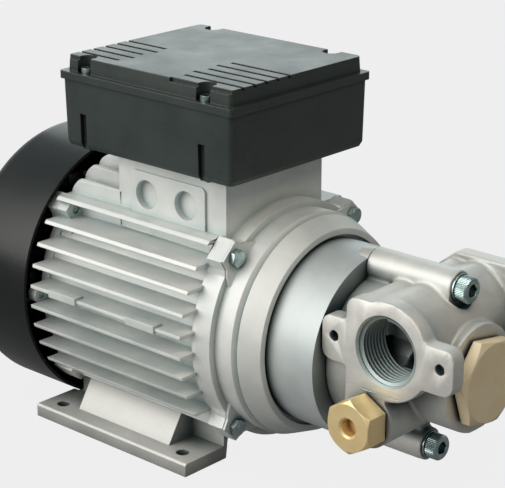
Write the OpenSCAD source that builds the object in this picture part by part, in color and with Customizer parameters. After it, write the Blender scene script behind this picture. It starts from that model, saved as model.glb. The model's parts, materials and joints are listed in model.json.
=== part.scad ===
// Motor-driven gear pump: foot-mounted finned motor, face-flanged internal-gear pump head.
// The origin is on the floor at the centre of the four foot bolts.
// +X runs along the shaft towards the pump, -Y is the side with the small brass plug, +Z is up.

/* [Motor frame] */
// Height of the shaft axis above the floor
shaft_h = 71; // [71:0.5:74]
// Outer radius of the barrel under its fins
barrel_r = 58; // [57.5:0.25:59]
// Inner radius of the barrel, which holds the stator
barrel_bore_r = 54; // [53:0.25:54.5]
// Distance from the foot centre back to the end of the barrel
frame_back = 50; // [48:0.5:54]
// Distance from the foot centre forward to the front seam
frame_front = 70; // [66:0.5:76]
// Height of the longest fins above the barrel
fin_h = 14; // [9:0.5:15]
// Thickness of a cooling fin
fin_t = 1.8; // [1.4:0.1:2.4]
// Height from one side fin to the next
fin_pitch = 11; // [10:0.25:12]
// Number of fins on each side
side_fins = 9; // [7:1:9]
// Distance of the lowest side fin below the shaft
fin_drop = 37; // [35:0.5:38]
// Distance from one upright top fin to the next
top_fin_pitch = 10; // [9:0.25:10.5]
// Height of the ring at the front of the frame above the barrel
ring_h = 4; // [2:0.5:6]
// Thickness of that ring
ring_t = 12; // [8:0.5:14]
// Distance of the corner bolts outside the barrel
lug_out = 5.5; // [4.5:0.25:7]
// Metal of a corner lug beyond the centre of its bolt
lug_edge = 5.5; // [4.5:0.25:8]
// Length of the two gripping pads on one side fin
pad_len = 20; // [12:1:24]

/* [Feet] */
// Length of a foot along the shaft
foot_len = 112; // [106:1:120]
// Width over both feet
feet_w = 131; // [127:0.5:140]
// Thickness of the foot plate
foot_t = 7; // [5:0.5:9]
// Height of the seat on which the frame stands
foot_h = 22; // [20:0.5:24]
// Distance between foot bolts along the shaft
foot_pitch_x = 90; // [84:1:94]
// Distance between foot bolts across the shaft
foot_pitch_y = 112; // [110:1:116]
// Diameter of a foot bolt hole
foot_hole_d = 7; // [6:0.25:8]
// Length of the sloped block between the foot bolts
wedge_len = 68; // [56:1:70]

/* [Terminal box] */
// Back end of the box, behind the foot centre
box_back = 42; // [36:0.5:46]
// Front end of the box, ahead of the foot centre
box_front = 74.5; // [70:0.5:78]
// Half of the width of the box
box_half_w = 50.5; // [46:0.5:54]
// Height of the box below its lid
box_h = 36; // [34:0.5:44]
// Thickness of the box walls
box_wall = 2.5; // [2:0.25:3]
// Height of the raised middle of the lid above its rim
lid_h = 8; // [5:0.5:10]
// Thickness of the lid rim
lid_rim_t = 4; // [3:0.5:5]
// Height of the pedestal top above the shaft
pedestal_h = 80; // [78:0.5:84]

/* [Fan end] */
// Gap between the fan cover and the heads of the rear corner bolts
cover_gap = 4.25; // [2:0.25:8]
// Wall of the fan cover
cover_wall = 1.6; // [1.2:0.1:2.2]
// Length of the fan cover
cover_len = 52; // [50:0.5:60]
// Outer radius of the fan
fan_r = 55; // [45:0.5:56]
// Number of fan blades
fan_blades = 9; // [6:1:11]

/* [Rotating parts] */
// Length of the laminated stack
stack_len = 68; // [60:1:70]
// Radius of the rotor
rotor_r = 30; // [28:0.25:31]
// Radial gap between rotor and stator
air_gap = 0.35; // [0.25:0.05:0.6]
// Number of stator slots
stator_slots = 24; // [18:1:28]
// Radius of the shaft inside the bearings
shaft_r = 7.5; // [7.25:0.05:7.5]
// Radius of the shaft inside the pump
pump_shaft_r = 6.5; // [6:0.1:6.6]
// Outer radius of the ball bearings
bearing_r = 17.5; // [17.25:0.05:17.75]
// Width of the ball bearings
bearing_w = 11; // [10.5:0.1:11.5]

/* [Gear set] */
// Number of lobes of the outer gear, one more than the inner gear has
outer_lobes = 7; // [6:1:7]
// Distance between the axes of the two gears
gear_offset = 2.8; // [2.6:0.05:2.9]
// Radius of the circle that the outer gear's lobe centres lie on
lobe_circle_r = 28; // [27.5:0.1:28.5]
// Radius of a lobe of the outer gear
lobe_r = 8.5; // [8.2:0.1:8.8]
// Width of the gears
gear_w = 15; // [12:0.5:18]
// Wall of the outer gear behind its deepest pocket
gear_wall = 5.6; // [5:0.1:6]
// Clearance between the gear flanks
flank_gap = 0.07; // [0.05:0.01:0.12]

/* [Pump head] */
// Distance from the front seam of the motor to the mounting face of its flange
flange_len = 22; // [21:0.5:26]
// Radius of the motor flange
flange_r = 52.5; // [51.5:0.25:53.5]
// Outer radius of the round gear housing
gear_housing_r = 47.4; // [47.4:0.1:49]
// Length of the gear housing
gear_housing_len = 31.4; // [31:0.2:34]
// Distance of the port axis ahead of the gear housing
port_ahead = 39.2; // [38:0.2:42]
// Height of the port axis above the shaft
port_up = 19.4; // [18:0.2:21]
// Distance of each port face from the middle
port_face = 42; // [41:0.25:45]
// Radius of the port thread
port_r = 16.6; // [15:0.1:16.7]
// Depth of the port thread
port_depth = 20; // [16:0.5:21]
// Radius of the boss round a port
port_boss_r = 24.5; // [23.5:0.25:26]
// Distance between the two screw holes beside a port
ear_pitch = 61.6; // [60:0.2:63]
// Height of the ear plate
ear_h = 23; // [20:0.5:26]
// Thickness of the ear plate
ear_t = 9; // [7:0.5:11]
// Diameter of the ear screw holes on the inlet side
ear_hole_d = 5; // [4:0.1:6]
// Diameter of the ear screw holes on the outlet side
outlet_hole_d = 5.5; // [4:0.1:6]
// Distance of the two clamping screws from the shaft
clamp_pos_r = 42.5; // [42.3:0.1:42.6]
// Diameter of the clamping screws
clamp_d = 8; // [6:0.25:8]
// Radius of the valve barrel
valve_barrel_r = 27; // [26:0.25:29]
// Distance of the valve barrel's end ahead of the gear housing
valve_ahead = 63; // [61:0.5:67]
// Radius of the relief valve bore
valve_bore_r = 12; // [11:0.25:12.5]
// Lift of the relief valve
valve_lift = 4; // [2:0.5:5]
// Width over flats of the large brass plug
big_plug_af = 40; // [36:0.5:42]
// Width over flats of the small brass plug
small_plug_af = 24; // [20:0.5:25]

/* [Hidden] */
$fn = 64;

// Clearances
fit = 0.1;
slip = 0.05;
touch_gap = 0.3;
cut = 1;

// Frame stations along the shaft
x_back = -frame_back;
x_seam = frame_front;
x_flange = x_seam + flange_len;
x_gears = x_flange + gear_housing_len;
stack_x0 = -22;
stack_x1 = stack_x0 + stack_len;
shield_t = 6;
x_shield_back = x_back - shield_t;
spigot_len = 5;
cover_lap = 3;
x_cover = x_shield_back + cover_lap;
x_cover_back = x_cover - cover_len;
floor_gap = 0.8;
lug_angles = [45, 135, 225, 315];
fin_tip_r = barrel_r + fin_h;
ring_r = barrel_r + ring_h;
lug_pos_r = barrel_r + lug_out;
lug_root_r = (barrel_r + barrel_bore_r) / 2;
rear_lug_len = 8;
shield_lug_t = 2.8;
x_ring = x_seam - ring_t;
x_fins_end = x_ring + 1.5;
low_fin_z = 8;
hex_af = 8;
hex_head_h = 3.4;
cover_r = lug_pos_r + hex_af / sqrt(3) + cover_gap + cover_wall;

// Bearings
ball_r = 3;
race_r = (bearing_r + shaft_r) / 2;
race_wall = 2;
ball_count = 7;
hub_r = bearing_r + 5;
front_bearing_x = x_seam + 4;
rear_bearing_x = x_back + 3;
washer_t = 1.2;

// Fasteners
m5_r = 2.5;
m5_head_r = 4.25;
m4_r = 2;
m4_head_r = 3.8;

// Feet
foot_edge = feet_w / 2;
foot_inner_top_y = sqrt(pow(barrel_r + touch_gap, 2) - pow(shaft_h - foot_h, 2));
foot_wall_y = foot_inner_top_y + 5.4;
foot_inner_y = foot_inner_top_y + 3.9;
wedge_top_y = foot_wall_y + 0.3 * (foot_edge - foot_wall_y);
wedge_out_y = foot_wall_y + 0.63 * (foot_edge - foot_wall_y);
foot_screw_x = 22;
foot_screw_y = (foot_wall_y + wedge_top_y) / 2;
foot_screw_sink = 9;

// Pedestal and terminal box
ped_x0 = -14;
ped_y0 = -40;
ped_x1 = x_ring + 3.3;
ped_y1 = 32;
ped_top = shaft_h + pedestal_h;
ped_wall = 5;
panel_x0 = -4;
panel_x1 = 48;
panel_z0 = shaft_h + 50;
panel_z1 = shaft_h + 74;
panel_y = ped_y0 - 1.2;
knockout_xs = [7.2, 34.6];
knockout_z = shaft_h + 62.3;
knockout_r = 7.6;
knockout_depth = 4;
gasket_t = 1;
box_z0 = ped_top + gasket_t;
box_z1 = box_z0 + box_h;
box_r = 3;
box_round = 3.5;
box_draft = 0.6;
rim_over = 1.7;
rim_r = 2;
lid_in = 1.2;
lid_z0 = box_z1;
lid_z1 = lid_z0 + lid_rim_t;
lid_z2 = lid_z1 + lid_h;
lid_screw_xs = [-28, 55];
lid_screw_y = box_half_w - 4.5;
box_screw_xs = [ped_x0 + ped_wall / 2 + 2, ped_x1 - ped_wall / 2 - 2];
box_screw_ys = [ped_y0 + ped_wall / 2 + 2, ped_y1 - ped_wall / 2 - 2];
floor_t = 3;
cable_x = 30;
cable_y = 0;
cable_r = 9;
lid_boss_r = 3.8;
lid_thread_len = 15;
lid_slot_w = 4.4;
lid_slot_h = 19;
lid_pocket_r = 4.6;
louvre_w = 2.2;
louvre_depth = 2;
louvre_pitch = 8.35;
louvre_count = 6;
louvre_len = 32.5;

// Gear set
inner_lobes = outer_lobes - 1;
root_r = lobe_circle_r - lobe_r + 2 * gear_offset + flank_gap;
outer_gear_r = root_r + gear_wall;
gear_x0 = x_gears - gear_w;
seal_t = 7;
seal_r = 11;
bush_r = 8.5;
pilot_r = 35;
pilot_h = 2.5;
lip_depth = 3;
lip_r = gear_housing_r + 2;

// Pump body stations
port_x = x_gears + port_ahead;
port_z = shaft_h + port_up;
x_valve = x_gears + valve_ahead;
body_base_r = 38;
body_base_t = 14;
clamp_boss_r = 8.5;
top_boss_x = x_gears + 47;
low_boss_x = x_gears + 33;
clamp_head_r = 6.5;
clamp_head_h = 8;
clamp_washer_t = 1.5;
column_x0 = port_x - 23.6;
column_x1 = port_x - 5.6;
column_top = port_z + 22.4;
port_core_r = port_r - 2;
port_core_depth = port_depth + 7;
plug_x = port_x - 10;
plug_z = shaft_h - 17;
plug_boss_r = 14.5;
plug_boss_y = 45;
plug_thread_r = 6.5;
passage_y = 20;
passage_z = shaft_h + 11;
passage_r = 6.5;
seat_x = x_gears + 30;
seat_r = 7;
seat_start_x = x_gears + 16;
ring_groove_r = 36;
ring_wire_r = 0.9;

// Stator slots
slot_r0 = rotor_r + air_gap + 3;
slot_r1 = barrel_bore_r - 8;
slot_half = 1.9;

// Fan end of the shaft
fan_x0 = x_shield_back - 24;
fan_hub_len = 16;
shaft_end = x_gears - 1;
fan_shaft_r = shaft_r - 0.5;
clip_t = 1;
clip_x = fan_x0 - clip_t - 0.15;

// Shaft key
gear_key_half = 1.5;

// Fan cover pillars
cover_pillar_r = cover_r - 10;
pillar_r = 4.2;
pillar_ear_r = 4.4;

// Terminal block and capacitor
block_x = 22;
block_y = 22;
block_z = box_z0 + floor_t;
block_len = 48;
block_w = 20;
stud_pitch = 15;
cap_r = 14;
cap_x0 = -22;
cap_x1 = 48;
cap_neck = 4;
cap_y = -box_half_w + 25.5;
cap_foot_t = 1.5;
cap_z = box_z0 + floor_t + cap_r + cap_foot_t;
clamp_x0 = 6;
clamp_x1 = 20;
clamp_wall = 1.3;

// Gear axis
gear_centre_z = shaft_h + gear_offset;

// Relief valve and plugs
plug_washer_t = 1.2;
plug_head_t = 6.5;
big_plug_turn = 20;
poppet_r = valve_bore_r - slip;
poppet_len = 9;
plug_spring_room = 6;
plug_shank_len = x_valve - seat_x - poppet_len - valve_lift - plug_spring_room;
spring_r = 7;
spring_wire_r = 0.9;
spring_turns = 5;
spring_x0 = seat_x + 4;
spring_x1 = x_valve - plug_shank_len + 4;
small_head_t = 10;
plug_hole_r = 4;

// Cylinder along X from x0 to x1, centred on (y, z)
module x_rod(x0, x1, y, z, r) {
    translate([x0, y, z]) rotate([0, 90, 0]) cylinder(r = r, h = x1 - x0);
}

// Cylinder along Y from y0 to y1, centred on (x, z)
module y_rod(y0, y1, x, z, r) {
    translate([x, y1, z]) rotate([90, 0, 0]) cylinder(r = r, h = y1 - y0);
}

// Disc or tube round the shaft
module tube(x0, x1, r_out, r_in = 0) {
    difference() {
        x_rod(x0, x1, 0, shaft_h, r_out);
        if (r_in > 0) x_rod(x0 - cut, x1 + cut, 0, shaft_h, r_in);
    }
}

// Solid of revolution round the shaft; the outline is drawn as [radius, x]
module turned(points) {
    translate([0, 0, shaft_h]) rotate([0, 90, 0]) rotate_extrude() polygon(points);
}

// Outline in the (Y, Z) plane drawn out along X
module along_x(x0, x1) {
    translate([x0, 0, 0]) rotate([90, 0, 90]) linear_extrude(x1 - x0) children();
}

// Outline in the (X, Z) plane drawn out along Y
module along_y(y0, y1) {
    translate([0, y1, 0]) rotate([90, 0, 0]) linear_extrude(y1 - y0) children();
}

// Copies its children at given angles round the shaft, starting from +Y
module round_shaft(angles) {
    for (a = angles) translate([0, 0, shaft_h]) rotate([a, 0, 0]) children();
}

// Rectangle with round corners, from two corner points
module round_rect(x0, y0, x1, y1, r) {
    translate([x0 + r, y0]) square([x1 - x0 - 2 * r, y1 - y0]);
    translate([x0, y0 + r]) square([x1 - x0, y1 - y0 - 2 * r]);
    for (x = [x0 + r, x1 - r]) for (y = [y0 + r, y1 - r]) translate([x, y]) circle(r = r);
}

// Slab with round upright corners
module slab(x0, y0, x1, y1, z0, z1, r) {
    translate([0, 0, z0]) linear_extrude(z1 - z0) round_rect(x0, y0, x1, y1, r);
}

// Socket head screw along -X, its head seat at the origin
module cap_screw(r, head_r, head_h, len) {
    socket_r = head_r * 0.55;
    difference() {
        union() {
            rotate([0, 90, 0]) cylinder(r = head_r, h = head_h);
            rotate([0, -90, 0]) cylinder(r = r, h = len);
        }
        translate([head_h * 0.4, 0, 0]) rotate([0, 90, 0]) cylinder(r = socket_r, h = head_h, $fn = 6);
    }
}

// Hexagon head bolt along -X, its head seat at the origin
module hex_bolt(r, head_af, head_h, len) {
    rotate([0, 90, 0]) cylinder(r = head_af / sqrt(3), h = head_h, $fn = 6);
    rotate([0, -90, 0]) cylinder(r = r, h = len);
}

// Pan head screw along -Z, its head seat at the origin
module pan_screw(r, head_r, head_h, len) {
    difference() {
        union() {
            cylinder(r = head_r, h = head_h);
            translate([0, 0, -len]) cylinder(r = r, h = len + head_h / 2);
        }
        for (a = [0, 90]) rotate([0, 0, a]) {
            translate([-head_r * 0.6, -0.5, head_h * 0.4]) cube([head_r * 1.2, 1, head_h]);
        }
    }
}

// Motor frame

// Volume that the upright fins may fill: a drum with a round shoulder behind
module fin_drum() {
    shoulder = 9;
    turned([[0, x_back], [fin_tip_r - shoulder, x_back], [fin_tip_r, x_back + shoulder],
        [fin_tip_r, x_fins_end], [0, x_fins_end]]);
    translate([x_back + shoulder, 0, shaft_h]) rotate([0, 90, 0]) rotate_extrude()
        translate([fin_tip_r - shoulder, 0]) circle(r = shoulder);
}

module side_fin_plates() {
    for (i = [0 : side_fins - 1]) {
        translate([x_back, -fin_tip_r, shaft_h - fin_drop + i * fin_pitch - fin_t / 2])
            cube([x_fins_end - x_back, 2 * fin_tip_r, fin_t]);
    }
}

// Upright fins above; the outermost on each side ends at the pedestal
module top_fin_plates() {
    for (k = [-4 : 4]) translate([x_back, k * top_fin_pitch - fin_t / 2, shaft_h + barrel_r * 0.6])
        cube([(abs(k) == 4 ? ped_x0 + cut : x_fins_end) - x_back, fin_t, fin_tip_r]);
}

module low_fin_plates() {
    for (y = [-15, -5, 5, 15]) translate([x_back, y - fin_t / 2, low_fin_z])
        cube([x_fins_end - x_back, fin_t, shaft_h - barrel_bore_r - low_fin_z]);
}

// Pads cast on the fin beside the shaft
module fin_pads() {
    z = shaft_h - fin_drop + 4 * fin_pitch;
    tip = sqrt(fin_tip_r * fin_tip_r - pow(z - shaft_h, 2));
    for (x = [-35, 22]) for (s = [-1, 1]) {
        translate([x, s * (tip - 2) - 3, z - 2]) cube([pad_len, 6, 4]);
    }
}

module foot_seats() {
    for (s = [-1, 1]) mirror([0, s < 0 ? 1 : 0, 0]) along_x(x_back + 2, foot_len / 2)
        polygon([[foot_inner_top_y, foot_h], [wedge_top_y, foot_h], [wedge_top_y, foot_h + 8],
            [barrel_r * 0.9, foot_h + 20], [foot_inner_top_y, foot_h + 20]]);
}

// Pedestal of the terminal box, with two blind cable entries in a raised panel on its near side
module pedestal() {
    difference() {
        union() {
            translate([ped_x0, ped_y0, shaft_h]) cube([ped_x1 - ped_x0, ped_y1 - ped_y0, pedestal_h]);
            along_y(panel_y, ped_y0 + cut)
                round_rect(panel_x0, panel_z0, panel_x1, panel_z1, 3);
        }
        for (x = knockout_xs)
            y_rod(panel_y - cut, panel_y + knockout_depth, x, knockout_z, knockout_r);
    }
}

// Outline of a disc with four corner lugs, drawn in (Y, Z)
module lugged_disc(r, half_tip) {
    tip = lug_pos_r + lug_edge;
    half_bolt = half_tip + 1.5;
    half_neck = half_tip + 4;
    half_root = half_tip + 8;
    neck_r = lug_root_r + 5;
    translate([0, shaft_h]) {
        circle(r = r);
        for (a = lug_angles) rotate(a) polygon([[lug_root_r, -half_root], [neck_r, -half_neck],
            [lug_pos_r, -half_bolt], [tip, -half_tip], [tip, half_tip], [lug_pos_r, half_bolt],
            [neck_r, half_neck], [lug_root_r, half_root]]);
    }
}

module motor_housing() {
    color("silver") difference() {
        union() {
            tube(x_back, x_seam, barrel_r);
            along_x(x_ring, x_seam) lugged_disc(ring_r, 6.5);
            intersection() {
                side_fin_plates();
                tube(x_back, x_fins_end, fin_tip_r);
            }
            intersection() {
                top_fin_plates();
                fin_drum();
            }
            low_fin_plates();
            fin_pads();
            foot_seats();
            pedestal();
            along_x(x_back, x_back + rear_lug_len) lugged_disc(barrel_r - 1, 4.8);
        }
        x_rod(x_back - cut, x_seam + cut, 0, shaft_h, barrel_bore_r);
        round_shaft(lug_angles) {
            x_rod(x_ring - cut, x_seam + cut, lug_pos_r, 0, m5_r + fit);
            x_rod(x_back - cut, x_back + rear_lug_len + cut, lug_pos_r, 0, m5_r + fit);
        }
        for (x = [-foot_screw_x, foot_screw_x]) for (y = [-foot_screw_y, foot_screw_y])
            translate([x, y, foot_h - cut]) cylinder(r = m5_r + fit, h = 10 + cut);
        for (x = box_screw_xs) for (y = box_screw_ys)
            translate([x, y, ped_top - 12]) cylinder(r = m4_r + fit, h = 12 + cut);
        translate([ped_x0 + 2 * ped_wall, ped_y0 + 2 * ped_wall, shaft_h + barrel_r + 2])
            cube([ped_x1 - ped_x0 - 4 * ped_wall, ped_y1 - ped_y0 - 4 * ped_wall, pedestal_h]);
        translate([cable_x, cable_y, shaft_h]) cylinder(r = cable_r - 1, h = pedestal_h);
    }
}

// One foot on the +Y side: a plate under the whole length, and a wall and a wedge under the frame
module foot() {
    half_len = foot_len / 2;
    difference() {
        union() {
            along_x(-half_len, half_len) polygon([[foot_inner_y, 0], [foot_edge, 0],
                [foot_edge, foot_t - 1], [foot_edge - 1, foot_t], [foot_inner_y - 1, foot_t]]);
            along_x(x_back + touch_gap, half_len) polygon([[foot_inner_y - 0.6, foot_t - cut],
                [foot_wall_y, foot_t - cut], [foot_wall_y, foot_h - 1], [foot_wall_y - 1, foot_h],
                [foot_inner_top_y, foot_h]]);
            along_x(-wedge_len / 2, wedge_len / 2) polygon([[foot_wall_y - 1, foot_t - cut],
                [wedge_out_y, foot_t - cut], [wedge_out_y, foot_t], [wedge_top_y, foot_h],
                [foot_wall_y - 1, foot_h]]);
        }
        for (x = [-foot_pitch_x / 2, foot_pitch_x / 2]) {
            translate([x, foot_pitch_y / 2, -cut]) cylinder(r = foot_hole_d / 2, h = foot_t + 2 * cut);
        }
        for (x = [-foot_screw_x, foot_screw_x]) translate([x, foot_screw_y, -cut]) {
            cylinder(r = m5_r + 2 * fit, h = foot_h + 2 * cut);
            cylinder(r = m5_head_r + touch_gap, h = foot_screw_sink + cut);
        }
        x_rod(-half_len - cut, x_cover + touch_gap, 0, shaft_h, cover_r + 2 * touch_gap);
    }
}

module foot_left() {
    color("silver") mirror([0, 1, 0]) foot();
}

module foot_right() {
    color("silver") foot();
}

module foot_screws() {
    color("gainsboro") for (x = [-foot_screw_x, foot_screw_x]) for (y = [-foot_screw_y, foot_screw_y])
        translate([x, y, foot_screw_sink]) rotate([0, 90, 0])
            cap_screw(m5_r, m5_head_r, 5, foot_h - foot_screw_sink + 9);
}

// End shields

module front_shield() {
    band_x = x_seam + 12;
    wall_x = x_flange - 8;
    seam_r = 58.4;
    step_r = 57.2;
    groove_r = 56.6;
    color("silver") difference() {
        union() {
            turned([[0, x_seam], [seam_r, x_seam], [seam_r, band_x - 1], [step_r, band_x],
                [groove_r, band_x + 1.2], [step_r, band_x + 2],
                [flange_r + 1.4, x_flange - 2.5], [flange_r, x_flange - 1.5],
                [flange_r, x_flange + lip_depth], [0, x_flange + lip_depth]]);
            tube(x_seam - spigot_len, x_seam + cut, barrel_bore_r - slip);
            along_x(x_seam, x_seam + shield_lug_t) lugged_disc(seam_r - 1, 6);
        }
        tube(x_flange, x_flange + lip_depth + cut, lip_r);
        difference() {
            tube(x_seam - spigot_len - cut, wall_x, barrel_bore_r - 5);
            tube(x_seam - spigot_len - cut, wall_x, hub_r);
        }
        tube(x_seam - spigot_len - 2 * cut, front_bearing_x - 2, hub_r + cut);
        tube(x_seam - spigot_len - cut, front_bearing_x + bearing_w, bearing_r + fit / 2);
        tube(x_seam, x_flange + cut, bearing_r - race_wall);
        round_shaft(lug_angles) x_rod(x_seam - cut, x_seam + shield_lug_t + cut, lug_pos_r, 0, m5_r + fit);
        for (s = [-1, 1])
            x_rod(x_flange - 7, x_flange + cut, 0, shaft_h + s * clamp_pos_r, clamp_d / 2 + fit);
    }
    color("silver") tube(x_flange - cut, x_flange + pilot_h, pilot_r, bearing_r - race_wall);
}

module front_shield_bolts() {
    color("lightgray") round_shaft(lug_angles) translate([x_seam + shield_lug_t, lug_pos_r, 0])
        hex_bolt(m5_r, hex_af, hex_head_h, shield_lug_t + ring_t - 1);
}

module rear_shield() {
    color("silver") difference() {
        union() {
            along_x(x_shield_back, x_back) lugged_disc(barrel_r + 1, 5);
            tube(x_back - cut, x_back + spigot_len, barrel_bore_r - slip);
            tube(x_back - cut, rear_bearing_x + bearing_w, hub_r);
            round_shaft([0, 90, 180, 270]) {
                x_rod(x_shield_back, x_back - touch_gap, cover_pillar_r, 0, pillar_ear_r);
                translate([x_shield_back, lug_root_r, -pillar_ear_r])
                    cube([shield_t - touch_gap, cover_pillar_r - lug_root_r, 2 * pillar_ear_r]);
            }
        }
        difference() {
            tube(x_back, x_back + spigot_len + cut, barrel_bore_r - 5);
            tube(x_back, x_back + spigot_len + cut, hub_r);
        }
        tube(rear_bearing_x - washer_t, rear_bearing_x + bearing_w + cut, bearing_r + fit / 2);
        tube(x_shield_back - cut, x_back + cut, shaft_r + 1);
        tube(x_back - cut, rear_bearing_x, bearing_r - race_wall);
        round_shaft(lug_angles) x_rod(x_shield_back - cut, x_back + cut, lug_pos_r, 0, m5_r + fit);
        round_shaft([0, 90, 180, 270])
            x_rod(x_shield_back - cut, x_back + cut, cover_pillar_r, 0, m4_r + fit);
    }
}

module rear_shield_bolts() {
    color("lightgray") round_shaft(lug_angles) translate([x_shield_back, lug_pos_r, 0]) mirror([1, 0, 0])
        hex_bolt(m5_r, hex_af, hex_head_h, shield_t + rear_lug_len - 1);
}

// Stator

module stator_core() {
    color("dimgray") difference() {
        tube(stack_x0, stack_x1, barrel_bore_r - slip, rotor_r + air_gap);
        round_shaft([for (i = [0 : stator_slots - 1]) i * 360 / stator_slots]) {
            translate([stack_x0 - cut, slot_r0, -slot_half])
                cube([stack_len + 2 * cut, slot_r1 - slot_r0, 2 * slot_half]);
            translate([stack_x0 - cut, rotor_r, -0.9])
                cube([stack_len + 2 * cut, slot_r0 - rotor_r + 1, 1.8]);
        }
    }
}

module stator_windings() {
    bundle_len = 15;
    r0 = slot_r0 + 0.5;
    r1 = slot_r1 - 1;
    color("peru") {
        for (x = [stack_x0 - touch_gap - bundle_len, stack_x1 + touch_gap]) {
            tube(x, x + bundle_len, r1 - 1, r0 + 1);
            tube(x + 1.5, x + bundle_len - 1.5, r1, r0);
        }
        round_shaft([for (i = [0 : stator_slots - 1]) i * 360 / stator_slots])
            translate([stack_x0 - cut, r0 + 0.5, 0.3 - slot_half])
                cube([stack_len + 2 * cut, r1 - r0 - 1, 2 * slot_half - 0.6]);
    }
}

// Rotor

module motor_shaft() {
    color("gainsboro") difference() {
        union() {
            tube(fan_x0 - 4, rear_bearing_x, fan_shaft_r);
            tube(rear_bearing_x, rear_bearing_x + bearing_w, shaft_r);
            tube(rear_bearing_x + bearing_w, front_bearing_x, shaft_r + 1.5);
            tube(front_bearing_x, front_bearing_x + bearing_w + 2, shaft_r);
            tube(front_bearing_x + bearing_w, shaft_end, pump_shaft_r);
        }
        tube(clip_x - slip, clip_x + clip_t + slip, shaft_r + cut, fan_shaft_r - 0.8);
        translate([gear_x0 + 2, -gear_key_half, shaft_h + pump_shaft_r - 2])
            cube([gear_w - 4, 2 * gear_key_half, 4]);
    }
}

module gear_key() {
    color("darkgray")
        translate([gear_x0 + 2 + slip, slip - gear_key_half, shaft_h + pump_shaft_r - 2 + slip])
            cube([gear_w - 4 - 2 * slip, 2 * gear_key_half - 2 * slip, 4 - slip]);
}

module rotor_core() {
    color("dimgray") tube(stack_x0, stack_x1, rotor_r, shaft_r + 1.5 + slip);
}

module rotor_cage() {
    ring_len = 7;
    color("silver") for (x = [stack_x0 - ring_len, stack_x1]) {
        tube(x, x + ring_len, rotor_r - 1, rotor_r - 9);
        tip_x = x < 0 ? x - 5 : x + ring_len;
        round_shaft([for (i = [0 : 8]) i * 40]) translate([tip_x, rotor_r - 8, -0.9]) cube([5, 6, 1.8]);
    }
}

module cooling_fan() {
    blade_t = 1.6;
    plate_x = fan_x0 + fan_hub_len - 2;
    color("dimgray") difference() {
        union() {
            tube(fan_x0, fan_x0 + fan_hub_len, fan_shaft_r + 4);
            tube(plate_x, plate_x + 2, fan_r);
            round_shaft([for (i = [0 : fan_blades - 1]) i * 360 / fan_blades])
                translate([fan_x0, fan_shaft_r + 2, -blade_t / 2])
                    cube([fan_hub_len, fan_r - fan_shaft_r - 2.2, blade_t]);
        }
        tube(fan_x0 - cut, fan_x0 + fan_hub_len + cut, fan_shaft_r + slip);
    }
}

module fan_clip() {
    color("gray") difference() {
        tube(clip_x, clip_x + clip_t, fan_shaft_r + 2, fan_shaft_r - 0.7);
        translate([clip_x - cut, -2.5, shaft_h]) cube([3, 5, 12]);
    }
}

// Ball bearings

module race(x, r_out, r_in) {
    difference() {
        tube(x, x + bearing_w, r_out, r_in);
        translate([x + bearing_w / 2, 0, shaft_h]) rotate([0, 90, 0]) rotate_extrude()
            translate([race_r, 0]) circle(r = ball_r + slip);
    }
}

module bearing_outer(x) {
    color("lightsteelblue") race(x, bearing_r, race_r + ball_r - race_wall + 1);
}

module bearing_inner(x) {
    color("lightsteelblue") race(x, race_r - ball_r + race_wall - 1, shaft_r + slip);
}

module bearing_balls(x) {
    cage_r = 1;
    color("goldenrod") {
        round_shaft([for (i = [0 : ball_count - 1]) i * 360 / ball_count])
            translate([x + bearing_w / 2, race_r, 0]) sphere(r = ball_r);
        tube(x + bearing_w / 2 - cage_r, x + bearing_w / 2 + cage_r, race_r + 0.8, race_r - 0.8);
    }
}

module front_bearing_outer() bearing_outer(front_bearing_x);
module front_bearing_inner() bearing_inner(front_bearing_x);
module front_bearing_balls() bearing_balls(front_bearing_x);
module rear_bearing_outer() bearing_outer(rear_bearing_x);
module rear_bearing_inner() bearing_inner(rear_bearing_x);
module rear_bearing_balls() bearing_balls(rear_bearing_x);

module preload_washer() {
    color("gray")
        tube(rear_bearing_x - washer_t + 0.1, rear_bearing_x - 0.1, bearing_r - 0.2, bearing_r - 4);
}

// Fan cover

module cover_drum(r, x0, x1, shoulder) {
    turned([[0, x0], [r - shoulder, x0], [r, x0 + shoulder], [r, x1], [0, x1]]);
    translate([x0 + shoulder, 0, shaft_h]) rotate([0, 90, 0]) rotate_extrude()
        translate([r - shoulder, 0]) circle(r = shoulder);
}

module above(z) {
    translate([x_cover_back - 5, -100, z]) cube([cover_len + 20, 200, 300]);
}

module grille_slots() {
    difference() {
        for (r = [16 : 8 : 40]) tube(x_cover_back - cut, x_cover_back + cover_wall + cut, r + 4, r);
        for (a = [0, 60, 120]) translate([x_cover_back - 2 * cut, 0, shaft_h]) rotate([a, 0, 0])
            translate([0, -fan_r - 5, -1.8]) cube([cover_wall + 4 * cut, 2 * fan_r + 10, 3.6]);
    }
}

module fan_cover() {
    shoulder = 11;
    color("black") difference() {
        union() {
            difference() {
                intersection() {
                    cover_drum(cover_r, x_cover_back, x_cover, shoulder);
                    above(floor_gap);
                }
                intersection() {
                    cover_drum(cover_r - cover_wall, x_cover_back + cover_wall, x_cover + cut,
                        shoulder - cover_wall);
                    above(floor_gap + cover_wall);
                }
            }
            round_shaft([0, 90, 180, 270])
                x_rod(x_cover_back + 1, x_shield_back - slip, cover_pillar_r, 0, pillar_r);
        }
        grille_slots();
        round_shaft([0, 90, 180, 270]) {
            x_rod(x_cover_back - cut, x_shield_back + cut, cover_pillar_r, 0, m4_r + 2 * fit);
        }
    }
}

module fan_cover_screws() {
    reach = x_shield_back - x_cover_back + shield_t - 1;
    color("dimgray") round_shaft([0, 90, 180, 270])
        translate([x_cover_back - slip, cover_pillar_r, 0]) rotate([0, -90, 0])
            pan_screw(m4_r, m4_head_r - 0.6, 2.4, reach);
}

// Terminal box

module box_outline(z, grow) {
    slab(-box_back - grow, -box_half_w - grow, box_front + grow, box_half_w + grow, z, z + 0.01, box_r);
}

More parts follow.
